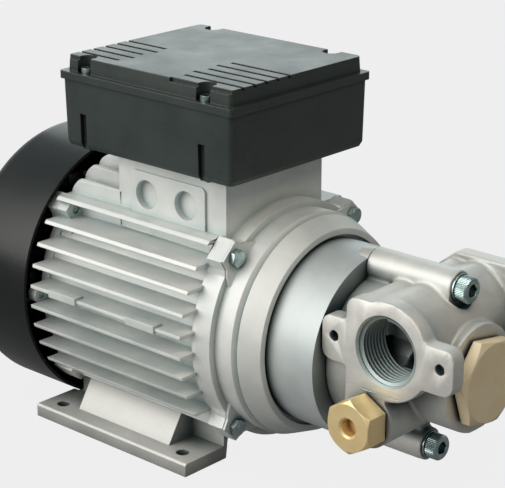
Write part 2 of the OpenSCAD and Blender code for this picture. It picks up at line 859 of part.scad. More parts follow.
module terminal_box() {
    color("#3a3f40") difference() {
        union() {
            difference() {
                hull() {
                    box_outline(box_z0, -box_round);
                    box_outline(box_z0 + 0.3 * box_round, -0.3 * box_round);
                    box_outline(box_z0 + box_round, 0);
                    box_outline(box_z1 - 0.01, box_draft);
                }
                hull() {
                    box_outline(box_z0 + floor_t, -box_wall);
                    box_outline(box_z1, box_draft - box_wall);
                }
            }
            for (x = lid_screw_xs) for (s = [-1, 1]) translate([x, s * lid_screw_y, box_z0])
                cylinder(r = lid_boss_r, h = box_h);
        }
        for (x = lid_screw_xs) for (s = [-1, 1]) {
            translate([x, s * lid_screw_y, box_z1 - lid_thread_len]) cylinder(r = m4_r + fit, h = box_h);
            translate([x - lid_slot_w / 2, s > 0 ? box_half_w - 2.1 : -box_half_w - 2.9, box_z0 - cut])
                cube([lid_slot_w, 5, lid_slot_h + cut]);
        }
        for (x = box_screw_xs) for (y = box_screw_ys)
            translate([x, y, box_z0 - cut]) cylinder(r = m4_r + 2 * fit, h = floor_t + 2 * cut);
        translate([cable_x, cable_y, box_z0 - cut]) cylinder(r = cable_r, h = floor_t + 2 * cut);
    }
}

module box_gasket() {
    color("black") difference() {
        slab(ped_x0, ped_y0, ped_x1, ped_y1, ped_top, box_z0, 2);
        slab(ped_x0 + 2 * ped_wall, ped_y0 + 2 * ped_wall, ped_x1 - 2 * ped_wall, ped_y1 - 2 * ped_wall,
            ped_top - cut, box_z0 + cut, 2);
        for (x = box_screw_xs) for (y = box_screw_ys)
            translate([x, y, ped_top - cut]) cylinder(r = m4_r + 2 * fit, h = gasket_t + 2 * cut);
    }
}

module box_screws() {
    color("lightgray") for (x = box_screw_xs) for (y = box_screw_ys) translate([x, y, box_z0 + floor_t])
        pan_screw(m4_r, m4_head_r, 2.6, floor_t + 9);
}

module terminal_box_lid() {
    color("#3a3f40") difference() {
        union() {
            slab(-box_back - rim_over, -box_half_w - rim_over, box_front + rim_over, box_half_w + rim_over,
                lid_z0, lid_z1, rim_r);
            hull() {
                box_outline(lid_z1 - 1, -lid_in);
                box_outline(lid_z2 - 0.01, -lid_in - 0.5);
            }
        }
        slab(-box_back + 6, -box_half_w + 10, box_front - 6, box_half_w - 10, lid_z0 - cut, lid_z2 - 3, 3);
        for (x = lid_screw_xs) for (s = [-1, 1]) {
            translate([x, s * lid_screw_y, lid_z0 - cut])
                cylinder(r = m4_r + 2 * fit, h = lid_rim_t + 2 * cut);
            translate([x, s * lid_screw_y, lid_z1]) cylinder(r = lid_pocket_r, h = lid_h + cut);
            translate([x - lid_pocket_r, s > 0 ? lid_screw_y : -lid_screw_y - 12, lid_z1])
                cube([2 * lid_pocket_r, 12, lid_h + cut]);
        }
        lid_louvres();
    }
}

// Two groups of louvre grooves on the near half of the lid, open at its edges
module lid_louvres() {
    for (i = [0 : louvre_count - 1]) {
        y = -6.8 - i * louvre_pitch - louvre_w / 2;
        step = (i % 2) * 2;
        short = i == louvre_count - 1 ? 14 : 0;
        translate([-box_back - 2, y, lid_z2 - louvre_depth])
            cube([louvre_len + step - short, louvre_w, louvre_depth + cut]);
        translate([box_front - louvre_len - 7.5 - step, y, lid_z2 - louvre_depth])
            cube([louvre_len + 11.5, louvre_w, louvre_depth + cut]);
    }
}

module lid_screws() {
    color("gainsboro") for (x = lid_screw_xs) for (s = [-1, 1]) translate([x, s * lid_screw_y, lid_z1])
        pan_screw(m4_r, m4_head_r, 2.8, lid_rim_t + 14);
}

module terminal_block() {
    color("saddlebrown") difference() {
        translate([block_x - block_len / 2, block_y - 9, block_z]) cube([block_len, block_w, 8]);
        for (i = [-1, 0, 1]) for (y = [-4, 6])
            translate([block_x + i * stud_pitch, block_y + y, block_z - cut])
                cylinder(r = m4_r + fit, h = 12);
    }
}

module terminal_studs() {
    color("goldenrod") for (i = [-1, 0, 1]) for (y = [-4, 6])
        translate([block_x + i * stud_pitch, block_y + y, 0]) {
        translate([0, 0, block_z + 1]) cylinder(r = m4_r, h = 14);
        translate([0, 0, block_z + 8]) cylinder(r = 3.9, h = 3, $fn = 6);
    }
}

module run_capacitor() {
    color("whitesmoke") {
        x_rod(cap_x0, cap_x1, cap_y, cap_z, cap_r);
        x_rod(cap_x0 - cap_neck, cap_x0, cap_y, cap_z, cap_r - 2);
        for (y = [-5, 5]) translate([cap_x0 - cap_neck - 6, cap_y + y - 3, cap_z - 0.4]) cube([7, 6, 0.8]);
    }
}

module capacitor_clamp() {
    color("gray") difference() {
        union() {
            x_rod(clamp_x0, clamp_x1, cap_y, cap_z, cap_r + clamp_wall);
            translate([clamp_x0, cap_y - cap_r - 5, box_z0 + floor_t])
                cube([clamp_x1 - clamp_x0, 2 * cap_r + 10, cap_foot_t]);
        }
        x_rod(clamp_x0 - cut, clamp_x1 + cut, cap_y, cap_z, cap_r + fit);
        translate([clamp_x0 - cut, cap_y - 2 * cap_r, box_z0 - cut])
            cube([clamp_x1 - clamp_x0 + 2 * cut, 4 * cap_r, floor_t + cut]);
    }
}

// Gear pump

// Inner gear outline: the path that the outer gear's round lobes sweep past it
function lobe_turn(t) = atan2(sin((1 - outer_lobes) * t),
    lobe_circle_r / (gear_offset * outer_lobes) - cos((1 - outer_lobes) * t));
flank_r = lobe_r + flank_gap;
function inner_point(t) = [
    lobe_circle_r * cos(t) - flank_r * cos(t + lobe_turn(t)) - gear_offset * cos(outer_lobes * t),
    lobe_circle_r * sin(t) - flank_r * sin(t + lobe_turn(t)) - gear_offset * sin(outer_lobes * t)
];

module inner_gear() {
    steps = 36 * inner_lobes;
    crowd = 0.9 * 180 / PI / inner_lobes;
    gap = 0.06;
    color("slategray") difference() {
        translate([gear_x0 + gap, 0, shaft_h]) rotate([0, 90, 0]) linear_extrude(gear_w - 2 * gap)
            polygon([for (i = [0 : steps - 1]) let (u = i * 360 / steps)
                inner_point(u - crowd * sin(inner_lobes * u))]);
        tube(gear_x0 - cut, x_gears + cut, pump_shaft_r + slip);
        translate([gear_x0 - cut, -gear_key_half, shaft_h])
            cube([gear_w + 2 * cut, 2 * gear_key_half, pump_shaft_r + 2.2]);
    }
}

module outer_gear() {
    gap = 0.06;
    x0 = gear_x0 + gap;
    x1 = x_gears - gap;
    color("steelblue") difference() {
        x_rod(x0, x1, 0, gear_centre_z, outer_gear_r);
        difference() {
            x_rod(x0 - cut, x1 + cut, 0, gear_centre_z, root_r);
            for (i = [0 : outer_lobes - 1])
                translate([0, 0, gear_centre_z]) rotate([i * 360 / outer_lobes, 0, 0])
                    x_rod(x0 - 2 * cut, x1 + 2 * cut, 0, -lobe_circle_r, lobe_r);
        }
    }
}

module gear_housing() {
    color("silver") difference() {
        tube(x_flange, x_gears, gear_housing_r);
        tube(x_flange - cut, x_flange + pilot_h + 0.2, pilot_r + slip);
        tube(x_flange - cut, x_flange + pilot_h + seal_t + 0.5, seal_r + fit);
        tube(x_flange - cut, x_gears, bush_r + slip);
        x_rod(gear_x0, x_gears + cut, 0, gear_centre_z, outer_gear_r + 0.06);
        for (s = [-1, 1])
            x_rod(x_flange - cut, x_gears + cut, 0, shaft_h + s * clamp_pos_r, clamp_d / 2 + fit);
        tube(x_gears - ring_wire_r, x_gears + cut, ring_groove_r + ring_wire_r + fit,
            ring_groove_r - ring_wire_r - fit);
    }
}

module housing_ring() {
    color("black") translate([x_gears - ring_wire_r / 2, 0, shaft_h]) rotate([0, 90, 0]) rotate_extrude()
        translate([ring_groove_r, 0]) circle(r = ring_wire_r / 2 - 0.02);
}

module shaft_seal() {
    x0 = x_flange + pilot_h + 0.3;
    color("#553322") difference() {
        tube(x0, x0 + seal_t, seal_r);
        tube(x0 - cut, x0 + seal_t + cut, pump_shaft_r + slip);
        tube(x0 - cut, x0 + 4, seal_r - 2.5);
    }
}

module pump_bush() {
    color("goldenrod") tube(x_flange + pilot_h + seal_t + 0.6, gear_x0 - 0.1, bush_r, pump_shaft_r + slip);
}

// Outline of the two-bolt flange round a port, drawn in (X, Z)
module port_flange() {
    corner = 6;
    ear_x = ear_pitch / 2 + 7.6;
    translate([port_x, port_z]) circle(r = port_boss_r);
    round_rect(port_x - ear_x, port_z - 12.8, port_x + ear_x, port_z - 12.8 + ear_h, corner);
    round_rect(column_x0, plug_z, column_x1 + 4, column_top, corner);
}

module pump_body_solid() {
    tube(x_gears, x_gears + body_base_t, body_base_r);
    turned([[0, x_gears + body_base_t - cut], [body_base_r, x_gears + body_base_t - cut],
        [valve_barrel_r, x_gears + 34], [valve_barrel_r, x_valve], [0, x_valve]]);
    y_rod(-port_face + 2, port_face - 2, port_x, port_z, port_boss_r - 0.7);
    for (s = [0, 1]) mirror([0, s, 0]) {
        along_y(-port_face, -port_face + ear_t) port_flange();
        along_y(-port_face + cut, 0) round_rect(column_x0, plug_z - 8, column_x1, column_top, 8);
    }
    y_rod(-plug_boss_y, 0, plug_x, plug_z, plug_boss_r);
    x_rod(x_gears, top_boss_x, 0, shaft_h + clamp_pos_r, clamp_boss_r);
    x_rod(x_gears, low_boss_x, 0, shaft_h - clamp_pos_r, clamp_boss_r);
    translate([x_gears, -4, shaft_h + 20]) cube([top_boss_x - x_gears, 8, clamp_pos_r - 20]);
    translate([x_gears, -4, shaft_h - clamp_pos_r]) cube([low_boss_x - x_gears, 8, 30]);
}

module pump_body() {
    color("silver") difference() {
        pump_body_solid();
        for (s = [-1, 1]) {
            y_rod(s > 0 ? port_face - port_depth : -port_face - cut,
                s > 0 ? port_face + cut : port_depth - port_face, port_x, port_z, port_r);
            y_rod(s > 0 ? port_face - port_core_depth : cut - port_face,
                s > 0 ? port_face - cut : port_core_depth - port_face, port_x, port_z, port_core_r);
            for (x = [-ear_pitch / 2, ear_pitch / 2]) {
                y_rod(s > 0 ? port_face - ear_t - cut : -port_face - cut,
                    s > 0 ? port_face + cut : ear_t - port_face + cut, port_x + x, port_z,
                    (s > 0 ? outlet_hole_d : ear_hole_d) / 2);
            }
            x_rod(x_gears - cut, port_x, s * passage_y, passage_z, passage_r);
            x_rod(x_gears - cut, x_gears + 10, s * (passage_y - 2), shaft_h, 6);
            x_rod(x_gears - cut, x_gears + 10, s * (passage_y - 2), shaft_h + 6, 6);
        }
        tube(seat_x, x_valve + cut, valve_bore_r);
        tube(seat_start_x, seat_x + cut, seat_r);
        y_rod(0, passage_y, seat_start_x + 6, shaft_h + 3, 5);
        y_rod(-passage_y, 0, seat_x + 8, shaft_h + 6, 5);
        x_rod(x_gears - cut, top_boss_x + cut, 0, shaft_h + clamp_pos_r, clamp_d / 2 + fit);
        x_rod(x_gears - cut, low_boss_x + cut, 0, shaft_h - clamp_pos_r, clamp_d / 2 + fit);
        x_rod(top_boss_x, x_valve, 0, shaft_h + clamp_pos_r, clamp_head_r + 1);
        x_rod(low_boss_x, x_valve, 0, shaft_h - clamp_pos_r, clamp_head_r + 1);
        y_rod(-plug_boss_y - cut, 14 - plug_boss_y, plug_x, plug_z, plug_thread_r + fit);
        translate([plug_x, -passage_y - 10, plug_z]) cylinder(r = 3, h = passage_z - plug_z);
    }
}

module clamp_screws() {
    color("gainsboro") {
        translate([top_boss_x + clamp_washer_t, 0, shaft_h + clamp_pos_r])
            cap_screw(clamp_d / 2, clamp_head_r, clamp_head_h, top_boss_x + clamp_washer_t - x_flange + 6);
        translate([low_boss_x + clamp_washer_t, 0, shaft_h - clamp_pos_r])
            cap_screw(clamp_d / 2, clamp_head_r, clamp_head_h, low_boss_x + clamp_washer_t - x_flange + 6);
    }
}

module clamp_washers() {
    color("dimgray") for (p = [[top_boss_x, clamp_pos_r], [low_boss_x, -clamp_pos_r]]) difference() {
        x_rod(p[0], p[0] + clamp_washer_t, 0, shaft_h + p[1], clamp_head_r + 0.4);
        x_rod(p[0] - cut, p[0] + clamp_washer_t + cut, 0, shaft_h + p[1], clamp_d / 2 + fit);
    }
}

// Relief valve

module relief_poppet() {
    color("lightgray") difference() {
        union() {
            tube(seat_x + 0.1, seat_x + poppet_len, poppet_r);
            turned([[0, seat_x - 4], [3, seat_x - 4], [seat_r - fit, seat_x - 0.5],
                [seat_r - fit, seat_x + 0.5], [0, seat_x + 0.5]]);
        }
        tube(seat_x + 3.5, seat_x + poppet_len + cut, poppet_r - 2);
    }
}

// Compression spring: a round wire swept along a helix
module relief_spring() {
    ring_steps = 20;
    wire_sides = 8;
    rings = spring_turns * ring_steps;
    x0 = spring_x0 + spring_wire_r;
    rise = spring_x1 - spring_x0 - 2 * spring_wire_r;
    points = [for (i = [0 : rings]) for (j = [0 : wire_sides - 1])
        let (a = i * 360 / ring_steps, b = j * 360 / wire_sides, r = spring_r + spring_wire_r * cos(b))
        [x0 + rise * i / rings + spring_wire_r * sin(b), r * cos(a), shaft_h + r * sin(a)]];
    sides = [for (i = [0 : rings - 1]) for (j = [0 : wire_sides - 1])
        let (k = (j + 1) % wire_sides)
        [i * wire_sides + j, i * wire_sides + k, (i + 1) * wire_sides + k, (i + 1) * wire_sides + j]];
    start = [[for (j = [wire_sides - 1 : -1 : 0]) j]];
    end = [[for (j = [0 : wire_sides - 1]) rings * wire_sides + j]];
    color("gray") polyhedron(points = points, faces = concat(sides, start, end));
}

module relief_plug() {
    x_face = x_valve + plug_washer_t;
    color("darkkhaki") difference() {
        union() {
            translate([x_face, 0, shaft_h]) rotate([0, 90, 0]) intersection() {
                rotate([0, 0, big_plug_turn])
                    cylinder(r = big_plug_af / sqrt(3), h = plug_head_t, $fn = 6);
                cylinder(r1 = big_plug_af / 2 + 12, r2 = big_plug_af / 2 - 0.5, h = plug_head_t);
            }
            tube(x_valve - plug_shank_len, x_face + cut, valve_bore_r - fit);
        }
        tube(x_valve - plug_shank_len - cut, x_valve - plug_shank_len + 4, valve_bore_r - 3.5);
    }
}

module relief_plug_washer() {
    color("chocolate") tube(x_valve, x_valve + plug_washer_t, valve_bore_r + 6, valve_bore_r + slip);
}

module small_plug() {
    y_face = -plug_boss_y - plug_washer_t;
    color("goldenrod") difference() {
        union() {
            intersection() {
                translate([plug_x, y_face, plug_z]) rotate([90, 0, 0])
                    cylinder(r = small_plug_af / sqrt(3), h = small_head_t, $fn = 6);
                translate([plug_x, 0, plug_z]) rotate([90, 0, 0]) cylinder(r1 = small_plug_af / 2 + 60,
                    r2 = small_plug_af / 2 - 0.3, h = small_head_t - y_face);
            }
            y_rod(y_face - cut, -plug_boss_y + 10, plug_x, plug_z, plug_thread_r);
        }
        y_rod(y_face - small_head_t - cut, y_face - small_head_t + 6, plug_x, plug_z, plug_hole_r);
    }
}

module small_plug_washer() {
    color("chocolate") difference() {
        y_rod(-plug_boss_y - plug_washer_t, -plug_boss_y, plug_x, plug_z, small_plug_af / 2 - 1);
        y_rod(-plug_boss_y - 2 * plug_washer_t, cut - plug_boss_y, plug_x, plug_z, plug_thread_r + fit);
    }
}

motor_housing();
foot_left();
foot_right();
foot_screws();
front_shield();
front_shield_bolts();
rear_shield();
rear_shield_bolts();
stator_core();
stator_windings();
motor_shaft();
rotor_core();
rotor_cage();
cooling_fan();
fan_clip();
gear_key();
front_bearing_inner();
front_bearing_outer();
front_bearing_balls();
rear_bearing_inner();
rear_bearing_outer();
rear_bearing_balls();
preload_washer();
fan_cover();
fan_cover_screws();
terminal_box();
box_gasket();
box_screws();
terminal_box_lid();
lid_screws();
terminal_block();
terminal_studs();
run_capacitor();
capacitor_clamp();
gear_housing();
shaft_seal();
pump_bush();
inner_gear();
outer_gear();
housing_ring();
pump_body();
clamp_screws();
clamp_washers();
relief_poppet();
relief_spring();
relief_plug();
relief_plug_washer();
small_plug();
small_plug_washer();
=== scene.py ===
"""Looks of a motor-driven gear pump: finishes and fine pieces around the fixed CAD frame.

Sizes are in millimetres in the frame of the part: the origin is at the centre of the foot bolts,
+X runs along the shaft towards the pump head and +Z is up.
"""

import json
import logging
import math
from collections.abc import Callable
from dataclasses import dataclass
from enum import Enum
from typing import Any

import bmesh
import bpy
from mathutils import Matrix, Vector


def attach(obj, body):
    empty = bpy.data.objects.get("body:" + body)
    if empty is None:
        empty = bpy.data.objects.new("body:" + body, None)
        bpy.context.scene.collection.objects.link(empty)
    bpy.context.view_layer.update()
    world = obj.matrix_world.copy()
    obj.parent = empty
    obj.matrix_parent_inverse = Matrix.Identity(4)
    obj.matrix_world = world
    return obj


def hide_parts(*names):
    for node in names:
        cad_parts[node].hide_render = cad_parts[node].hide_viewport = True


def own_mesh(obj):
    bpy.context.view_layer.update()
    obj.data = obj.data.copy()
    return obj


Piece = bpy.types.Object
Tree = bpy.types.NodeTree
Socket = bpy.types.NodeSocket
Pair = tuple[float, float]
Triple = tuple[float, float, float]

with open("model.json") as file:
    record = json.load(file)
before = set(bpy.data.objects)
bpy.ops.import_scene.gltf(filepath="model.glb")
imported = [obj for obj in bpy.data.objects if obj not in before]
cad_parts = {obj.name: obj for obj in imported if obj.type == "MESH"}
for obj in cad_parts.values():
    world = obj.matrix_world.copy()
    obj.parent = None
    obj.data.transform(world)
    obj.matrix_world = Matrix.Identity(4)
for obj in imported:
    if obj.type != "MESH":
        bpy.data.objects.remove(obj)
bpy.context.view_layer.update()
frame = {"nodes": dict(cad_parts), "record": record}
LOG = logging.getLogger("gear_pump")
MM = 0.001
SHAFT_Z = 71.0
# How far a point may lie from the plane or radius by which it is found.
NEAR_PLANE = 0.02
NEAR_RADIUS = 0.05
# The tone patches part their two colours between these heights of their noise.
PATCH_EDGES = (0.35, 0.65)
# The gloss follows the middle of the same noise.
GLOSS_EDGES = (0.3, 0.7)
# Openness at which a hollow takes its full painted shade, and at which that painted shade is gone.
PAINTED_SHADE_EDGES = (0.25, 0.9)
# Divides a wave's scale: a turned ring comes out about twice the grain's width, so that it shows.
WAVE_PERIOD = 6.28
# The bend, in degrees, from which an edge of a hexagon or a knurl is sharp.
HEX_SHARP = 24.0


def linear(hex_colour: str) -> tuple[float, float, float, float]:
    """Turns an sRGB hex colour into linear RGBA.

    Args:
        hex_colour: The colour as "#rrggbb".

    Returns:
        The four linear components, with alpha 1.
    """
    parts = [int(hex_colour[i:i + 2], 16) / 255 for i in (1, 3, 5)]
    values = [c / 12.92 if c <= 0.04045 else ((c + 0.055) / 1.055) ** 2.4 for c in parts]
    return values[0], values[1], values[2], 1.0


def per_metre(size_mm: float) -> float:
    """Returns the texture scale at which one feature is size_mm wide."""
    return 1000 / size_mm


def add_node(tree: Tree, kind: str, inputs: dict[Any, Any] | None = None,
             **settings: Any) -> bpy.types.Node:
    """Adds a shader node with its settings and links.

    Args:
        tree: The node tree to add to.
        kind: The node type without its ShaderNode prefix.
        inputs: Values or sockets for the node's inputs, by name or index.
        **settings: Properties of the node itself.

    Returns:
        The new node.
    """
    node = tree.nodes.new("ShaderNode" + kind)
    for key, value in settings.items():
        setattr(node, key, value)
    for key, value in (inputs or {}).items():
        socket = node.inputs[key]
        if isinstance(value, Socket):
            tree.links.new(value, socket)
        else:
            socket.default_value = value
    return node


@dataclass(frozen=True)
class Finish:
    """A surface finish with its colour, gloss and grain, and the painted shade that darkens its recesses."""

    name: str
    colour: str
    shade: str
    roughness: float
    metallic: float = 0.0
    grain_mm: float = 0.5
    grain_depth_mm: float = 0.02
    patch_mm: float = 20.0
    rough_spread: float = 0.08
    edge_mm: float = 0.4
    # Painted shade: a tint that ambient occlusion multiplies into the colour in hollows, corners and gaps, and the
    # reach of that occlusion; a mid grey within 3 mm for finishes that set none.
    recess: str = "#6a6a6a"
    recess_mm: float = 3.0

    def build(self) -> bpy.types.Material:
        """Makes the material.

        Returns:
            A node material on Object coordinates.
        """
        material = bpy.data.materials.new(self.name)
        material.use_nodes = True
        tree = material.node_tree
        shader = tree.nodes["Principled BSDF"]
        place = add_node(tree, "TexCoord").outputs["Object"]
        patches = add_node(tree, "TexNoise", {"Vector": place, "Scale": per_metre(self.patch_mm),
                                              "Detail": 4.0, "Roughness": 0.6}).outputs["Fac"]
        edges = add_node(tree, "Bevel", {"Radius": self.edge_mm * MM}, samples=6)
        bump = add_node(tree, "Bump", {"Height": self.grain(tree, place), "Strength": 1.0,
                                       "Distance": self.grain_depth_mm * MM,
                                       "Normal": edges.outputs["Normal"]})
        rough = add_node(tree, "MapRange", {"Value": patches, "From Min": GLOSS_EDGES[0], "From Max": GLOSS_EDGES[1],
                                            "To Min": self.roughness - self.rough_spread,
                                            "To Max": self.roughness + self.rough_spread})
        tree.links.new(self.tone(tree, patches), shader.inputs["Base Color"])
        tree.links.new(rough.outputs["Result"], shader.inputs["Roughness"])
        tree.links.new(bump.outputs["Normal"], shader.inputs["Normal"])
        shader.inputs["Metallic"].default_value = self.metallic
        return material

    def tone(self, tree: Tree, patches: Socket) -> Socket:
        """Mixes the two colours in soft patches and paints shade into the recesses.

        Args:
            tree: The material's node tree.
            patches: The slow pattern that parts the two colours.

        Returns:
            The colour socket.
        """
        # Painted shade: ambient occlusion pulls the colour towards a darker tint wherever a surface is hidden from
        # open space.
        painted_shade_ao = add_node(tree, "AmbientOcclusion", {"Distance": self.recess_mm * MM}, samples=8)
        product = add_node(tree, "Mix", {"Factor": 1.0}, data_type="RGBA", blend_type="MULTIPLY")
        for layer, value, edges, tints in (("A", patches, PATCH_EDGES, (self.shade, self.colour)),
                                           ("B", painted_shade_ao.outputs["AO"], PAINTED_SHADE_EDGES, (self.recess, "#ffffff"))):
            ramp = add_node(tree, "ValToRGB", {0: value})
            for stop, edge, tint in zip(ramp.color_ramp.elements, edges, tints):
                stop.position, stop.color = edge, linear(tint)
            tree.links.new(ramp.outputs["Color"], product.inputs[layer])
        return product.outputs["Result"]

    def grain(self, tree: Tree, place: Socket) -> Socket:
        """Returns the height pattern of the surface."""
        return add_node(tree, "TexNoise", {"Vector": place, "Scale": per_metre(self.grain_mm),
                                           "Detail": 3.0}).outputs["Fac"]


@dataclass(frozen=True)
class CastFinish(Finish):
    """A die-cast skin: grit, drawn coarser than real so that it shows, with slow flow marks under it."""

    flow_mm: float = 7.0
    flow_share: float = 2.2

    def grain(self, tree: Tree, place: Socket) -> Socket:
        """Lays grit over broad, shallow flow marks.

        Args:
            tree: The material's node tree.
            place: The Object coordinates.

        Returns:
            The height socket.
        """
        grit = super().grain(tree, place)
        flow = add_node(tree, "TexNoise", {"Vector": place, "Scale": per_metre(self.flow_mm), "Detail": 1.0,
                                           "Distortion": 0.6})
        both = add_node(tree, "Math", {0: flow.outputs["Fac"], 1: self.flow_share, 2: grit},
                        operation="MULTIPLY_ADD")
        return both.outputs["Value"]


@dataclass(frozen=True)
class TurnedFinish(Finish):
    """A finish with the fine rings that a lathe tool leaves along the shaft."""

    def grain(self, tree: Tree, place: Socket) -> Socket:
        """Returns fine rings along the shaft, a little uneven."""
        wave = add_node(tree, "TexWave", {"Vector": place, "Scale": per_metre(self.grain_mm) / WAVE_PERIOD,
                                          "Distortion": 0.4}, bands_direction="X")
        return wave.outputs["Fac"]


class Shop(Enum):
    """The finishes of this pump. A material slot's name in capitals finds its finish."""

    # Bare die-cast aluminium: a pale, soft sheen, with a cool painted shade between the fins.
    CAST_ALUMINIUM = CastFinish("die_cast_aluminium", "#e6e8e6", "#d6dbda", 0.56, 0.4, 0.9, 0.03, 25.0,
                                edge_mm=0.6, recess="#c3d0d1", recess_mm=7.0)
    # The same alloy on the feet: warmer and paler, tumbled smooth, with a deep green-grey painted shade in its
    # hollows.
    FOOT_ALUMINIUM = CastFinish("tumbled_cast_aluminium", "#dedddb", "#cfcfcc", 0.55, 0.4, 0.8, 0.03, 30.0,
                                edge_mm=0.7, recess="#5d6d6b", recess_mm=18.0)
    # The pump head, shot-blasted: an even, pale sparkle, with a dark teal painted shade in each fillet and recess.
    PUMP_ALUMINIUM = CastFinish("blasted_die_cast_aluminium", "#e4e3df", "#d0d4d3", 0.50, 0.5, 0.7, 0.03, 18.0,
                                edge_mm=0.5, recess="#3f5558", recess_mm=20.0)
    # Faces cut by a tool: flat and a little brighter than the casting round them, with a grey-teal painted shade in
    # their corners.
    MILLED_ALUMINIUM = Finish("milled_aluminium", "#f3f2ed", "#e6e6e2", 0.40, 0.6, 0.35, 0.006, 12.0,
                              edge_mm=0.15, recess="#4a5c5d", recess_mm=12.0)
    # Inside the ports: freshly cut thread, grey-green where little light gets in.
    THREAD_ALUMINIUM = Finish("thread_cut_aluminium", "#b4c0bf", "#a3b1b1", 0.42, 0.5, 0.35, 0.006, 12.0,
                              edge_mm=0.15, recess="#3a5453", recess_mm=14.0)
    # The gear housing: turned all over, so smooth with a long highlight along it, and a broad dark teal painted shade
    # where the parts round it hide the light.
    TURNED_ALUMINIUM = TurnedFinish("turned_aluminium", "#cfd5d6", "#bfc8c9", 0.52, 0.5, 0.5, 0.004, 30.0,
                                    recess="#2f4649", recess_mm=22.0)
    # Glossy moulded ABS: near black with sharp window-like reflections.
    BLACK_PLASTIC = Finish("gloss_black_abs", "#030c0b", "#020908", 0.27, 0.0, 0.8, 0.004, 40.0, 0.04)
    # Satin ABS with a spark-eroded grain: dark green-grey, pale where light grazes it, with a darker painted shade in
    # its recesses.
    CHARCOAL_PLASTIC = Finish("satin_charcoal_abs", "#343d3b", "#2e3735", 0.30, 0.0, 0.35, 0.02, 30.0,
                              edge_mm=0.7, recess="#2c3333", recess_mm=5.0)
    # The unpolished inside of the fan cover: the same black, but dull.
    DULL_BLACK = Finish("unpolished_black_abs", "#060707", "#040505", 0.85, 0.0, 0.8, 0.01, 40.0)
    # Clear zinc plate: a bluish green tint over bright, slightly streaky steel, with a grey-teal painted shade in its
    # recesses.
    ZINC_STEEL = Finish("zinc_plated_steel", "#c2d2d2", "#8fa9aa", 0.26, 1.0, 0.6, 0.004, 5.0, edge_mm=0.2,
                        recess="#4a5a5c")
    # Punched electrical sheet: dull dark metal.
    LAMINATION_STEEL = Finish("stamped_lamination_steel", "#4a4a4c", "#3a3a3c", 0.5, 1.0, 0.5, 0.02)
    # Ground shaft: fine bright rings.
    SHAFT_STEEL = TurnedFinish("ground_shaft_steel", "#a9acad", "#989c9d", 0.25, 1.0, 0.4, 0.004)
    # Drawn spring wire: dark and smooth.
    SPRING_STEEL = Finish("drawn_spring_steel", "#4d4f50", "#3b3c3d", 0.4, 1.0, edge_mm=0.15)
    # Hardened and ground steel: clean grey metal.
    HARDENED_STEEL = Finish("hardened_ground_steel", "#8d9092", "#7b7f82", 0.28, 1.0, edge_mm=0.2)
    # Enamelled wire under varnish: red-brown with a soft gloss.
    ENAMELLED_COPPER = Finish("varnished_copper_wire", "#a3541f", "#7c3a14", 0.35, 0.6, 0.6, 0.1, 8.0)
    # Turned brass, a little tarnished: tan where it faces the sky, gold on its flanks, with a brown painted shade in
    # its recesses.
    PLUG_BRASS = Finish("turned_brass", "#ffefcd", "#fbe6bf", 0.40, 0.1, 0.5, 0.005, 12.0, edge_mm=0.3,
                        recess="#7d5a30", recess_mm=4.0)
    # Fresh turned brass: clear yellow gold, with a brown painted shade in its recesses.
    BRIGHT_BRASS = Finish("bright_turned_brass", "#fce4b0", "#f4d89e", 0.38, 0.5, 0.5, 0.003, 14.0, 0.03,
                          edge_mm=0.25, recess="#8a5a28", recess_mm=4.0)
    # Soft annealed copper: pinkish and matt.
    WASHER_COPPER = Finish("annealed_copper", "#b87452", "#9a5c40", 0.45, 1.0, edge_mm=0.15)
    # Moulded nitrile rubber: dull black.
    SEAL_RUBBER = Finish("nitrile_rubber", "#17181a", "#101113", 0.6, edge_mm=0.2)
    # Phenolic moulding: dark brown with a low gloss.
    BROWN_BAKELITE = Finish("brown_phenolic", "#3c1f12", "#2e170d", 0.4)
    # White polypropylene can: slightly yellow and waxy.
    CAPACITOR_WHITE = Finish("white_polypropylene", "#dcdad2", "#cfcdc4", 0.35)
    # Sintered bronze: brown and porous.
    BUSH_BRONZE = Finish("sintered_bronze", "#a5793c", "#8b6431", 0.5, 1.0)


class Paint:
    """Builds each finish once and hands it out."""

    def __init__(self) -> None:
        """Starts with no material made."""
        self.made: dict[Shop, bpy.types.Material] = {}

    def material(self, finish: Shop) -> bpy.types.Material:
        """Finds the material of a finish, or makes it at its first use.

        Args:
            finish: The finish.

        Returns:
            Its one material.
        """
        if finish not in self.made:
            self.made[finish] = finish.value.build()
        return self.made[finish]

    def dress(self, piece: Piece, finish: Shop) -> None:
        """Gives a piece one material in place of all that it has."""
        piece.data.materials.clear()
        piece.data.materials.append(self.material(finish))


def place_mesh(bm: bmesh.types.BMesh, name: str, at: Triple = (0.0, 0.0, 0.0)) -> Piece:
    """Turns a bmesh in millimetres into an object at the origin.

    Args:
        bm: The mesh, which is freed.
        name: The object's name.
        at: How far the mesh is shifted first.

    Returns:
        The linked object, in metres.
    """
    bmesh.ops.translate(bm, vec=at, verts=bm.verts)
    bmesh.ops.scale(bm, vec=(MM, MM, MM), verts=bm.verts)
    mesh = bpy.data.meshes.new(name)
    bm.to_mesh(mesh)
    bm.free()
    piece = bpy.data.objects.new(name, mesh)
    bpy.context.collection.objects.link(piece)
    return piece


def shade_by_angle(mesh: bpy.types.Mesh, limit_deg: float) -> None:
    """Shades a mesh smooth and keeps its sharp edges sharp.

    Args:
        mesh: The mesh to shade.
        limit_deg: The bend of an edge, in degrees, from which it is sharp.
    """
    bm = bmesh.new()
    bm.from_mesh(mesh)
    for face in bm.faces:
        face.smooth = True
    for edge in bm.edges:
        edge.smooth = edge.calc_face_angle(0.0) < math.radians(limit_deg)
    bm.to_mesh(mesh)
    bm.free()


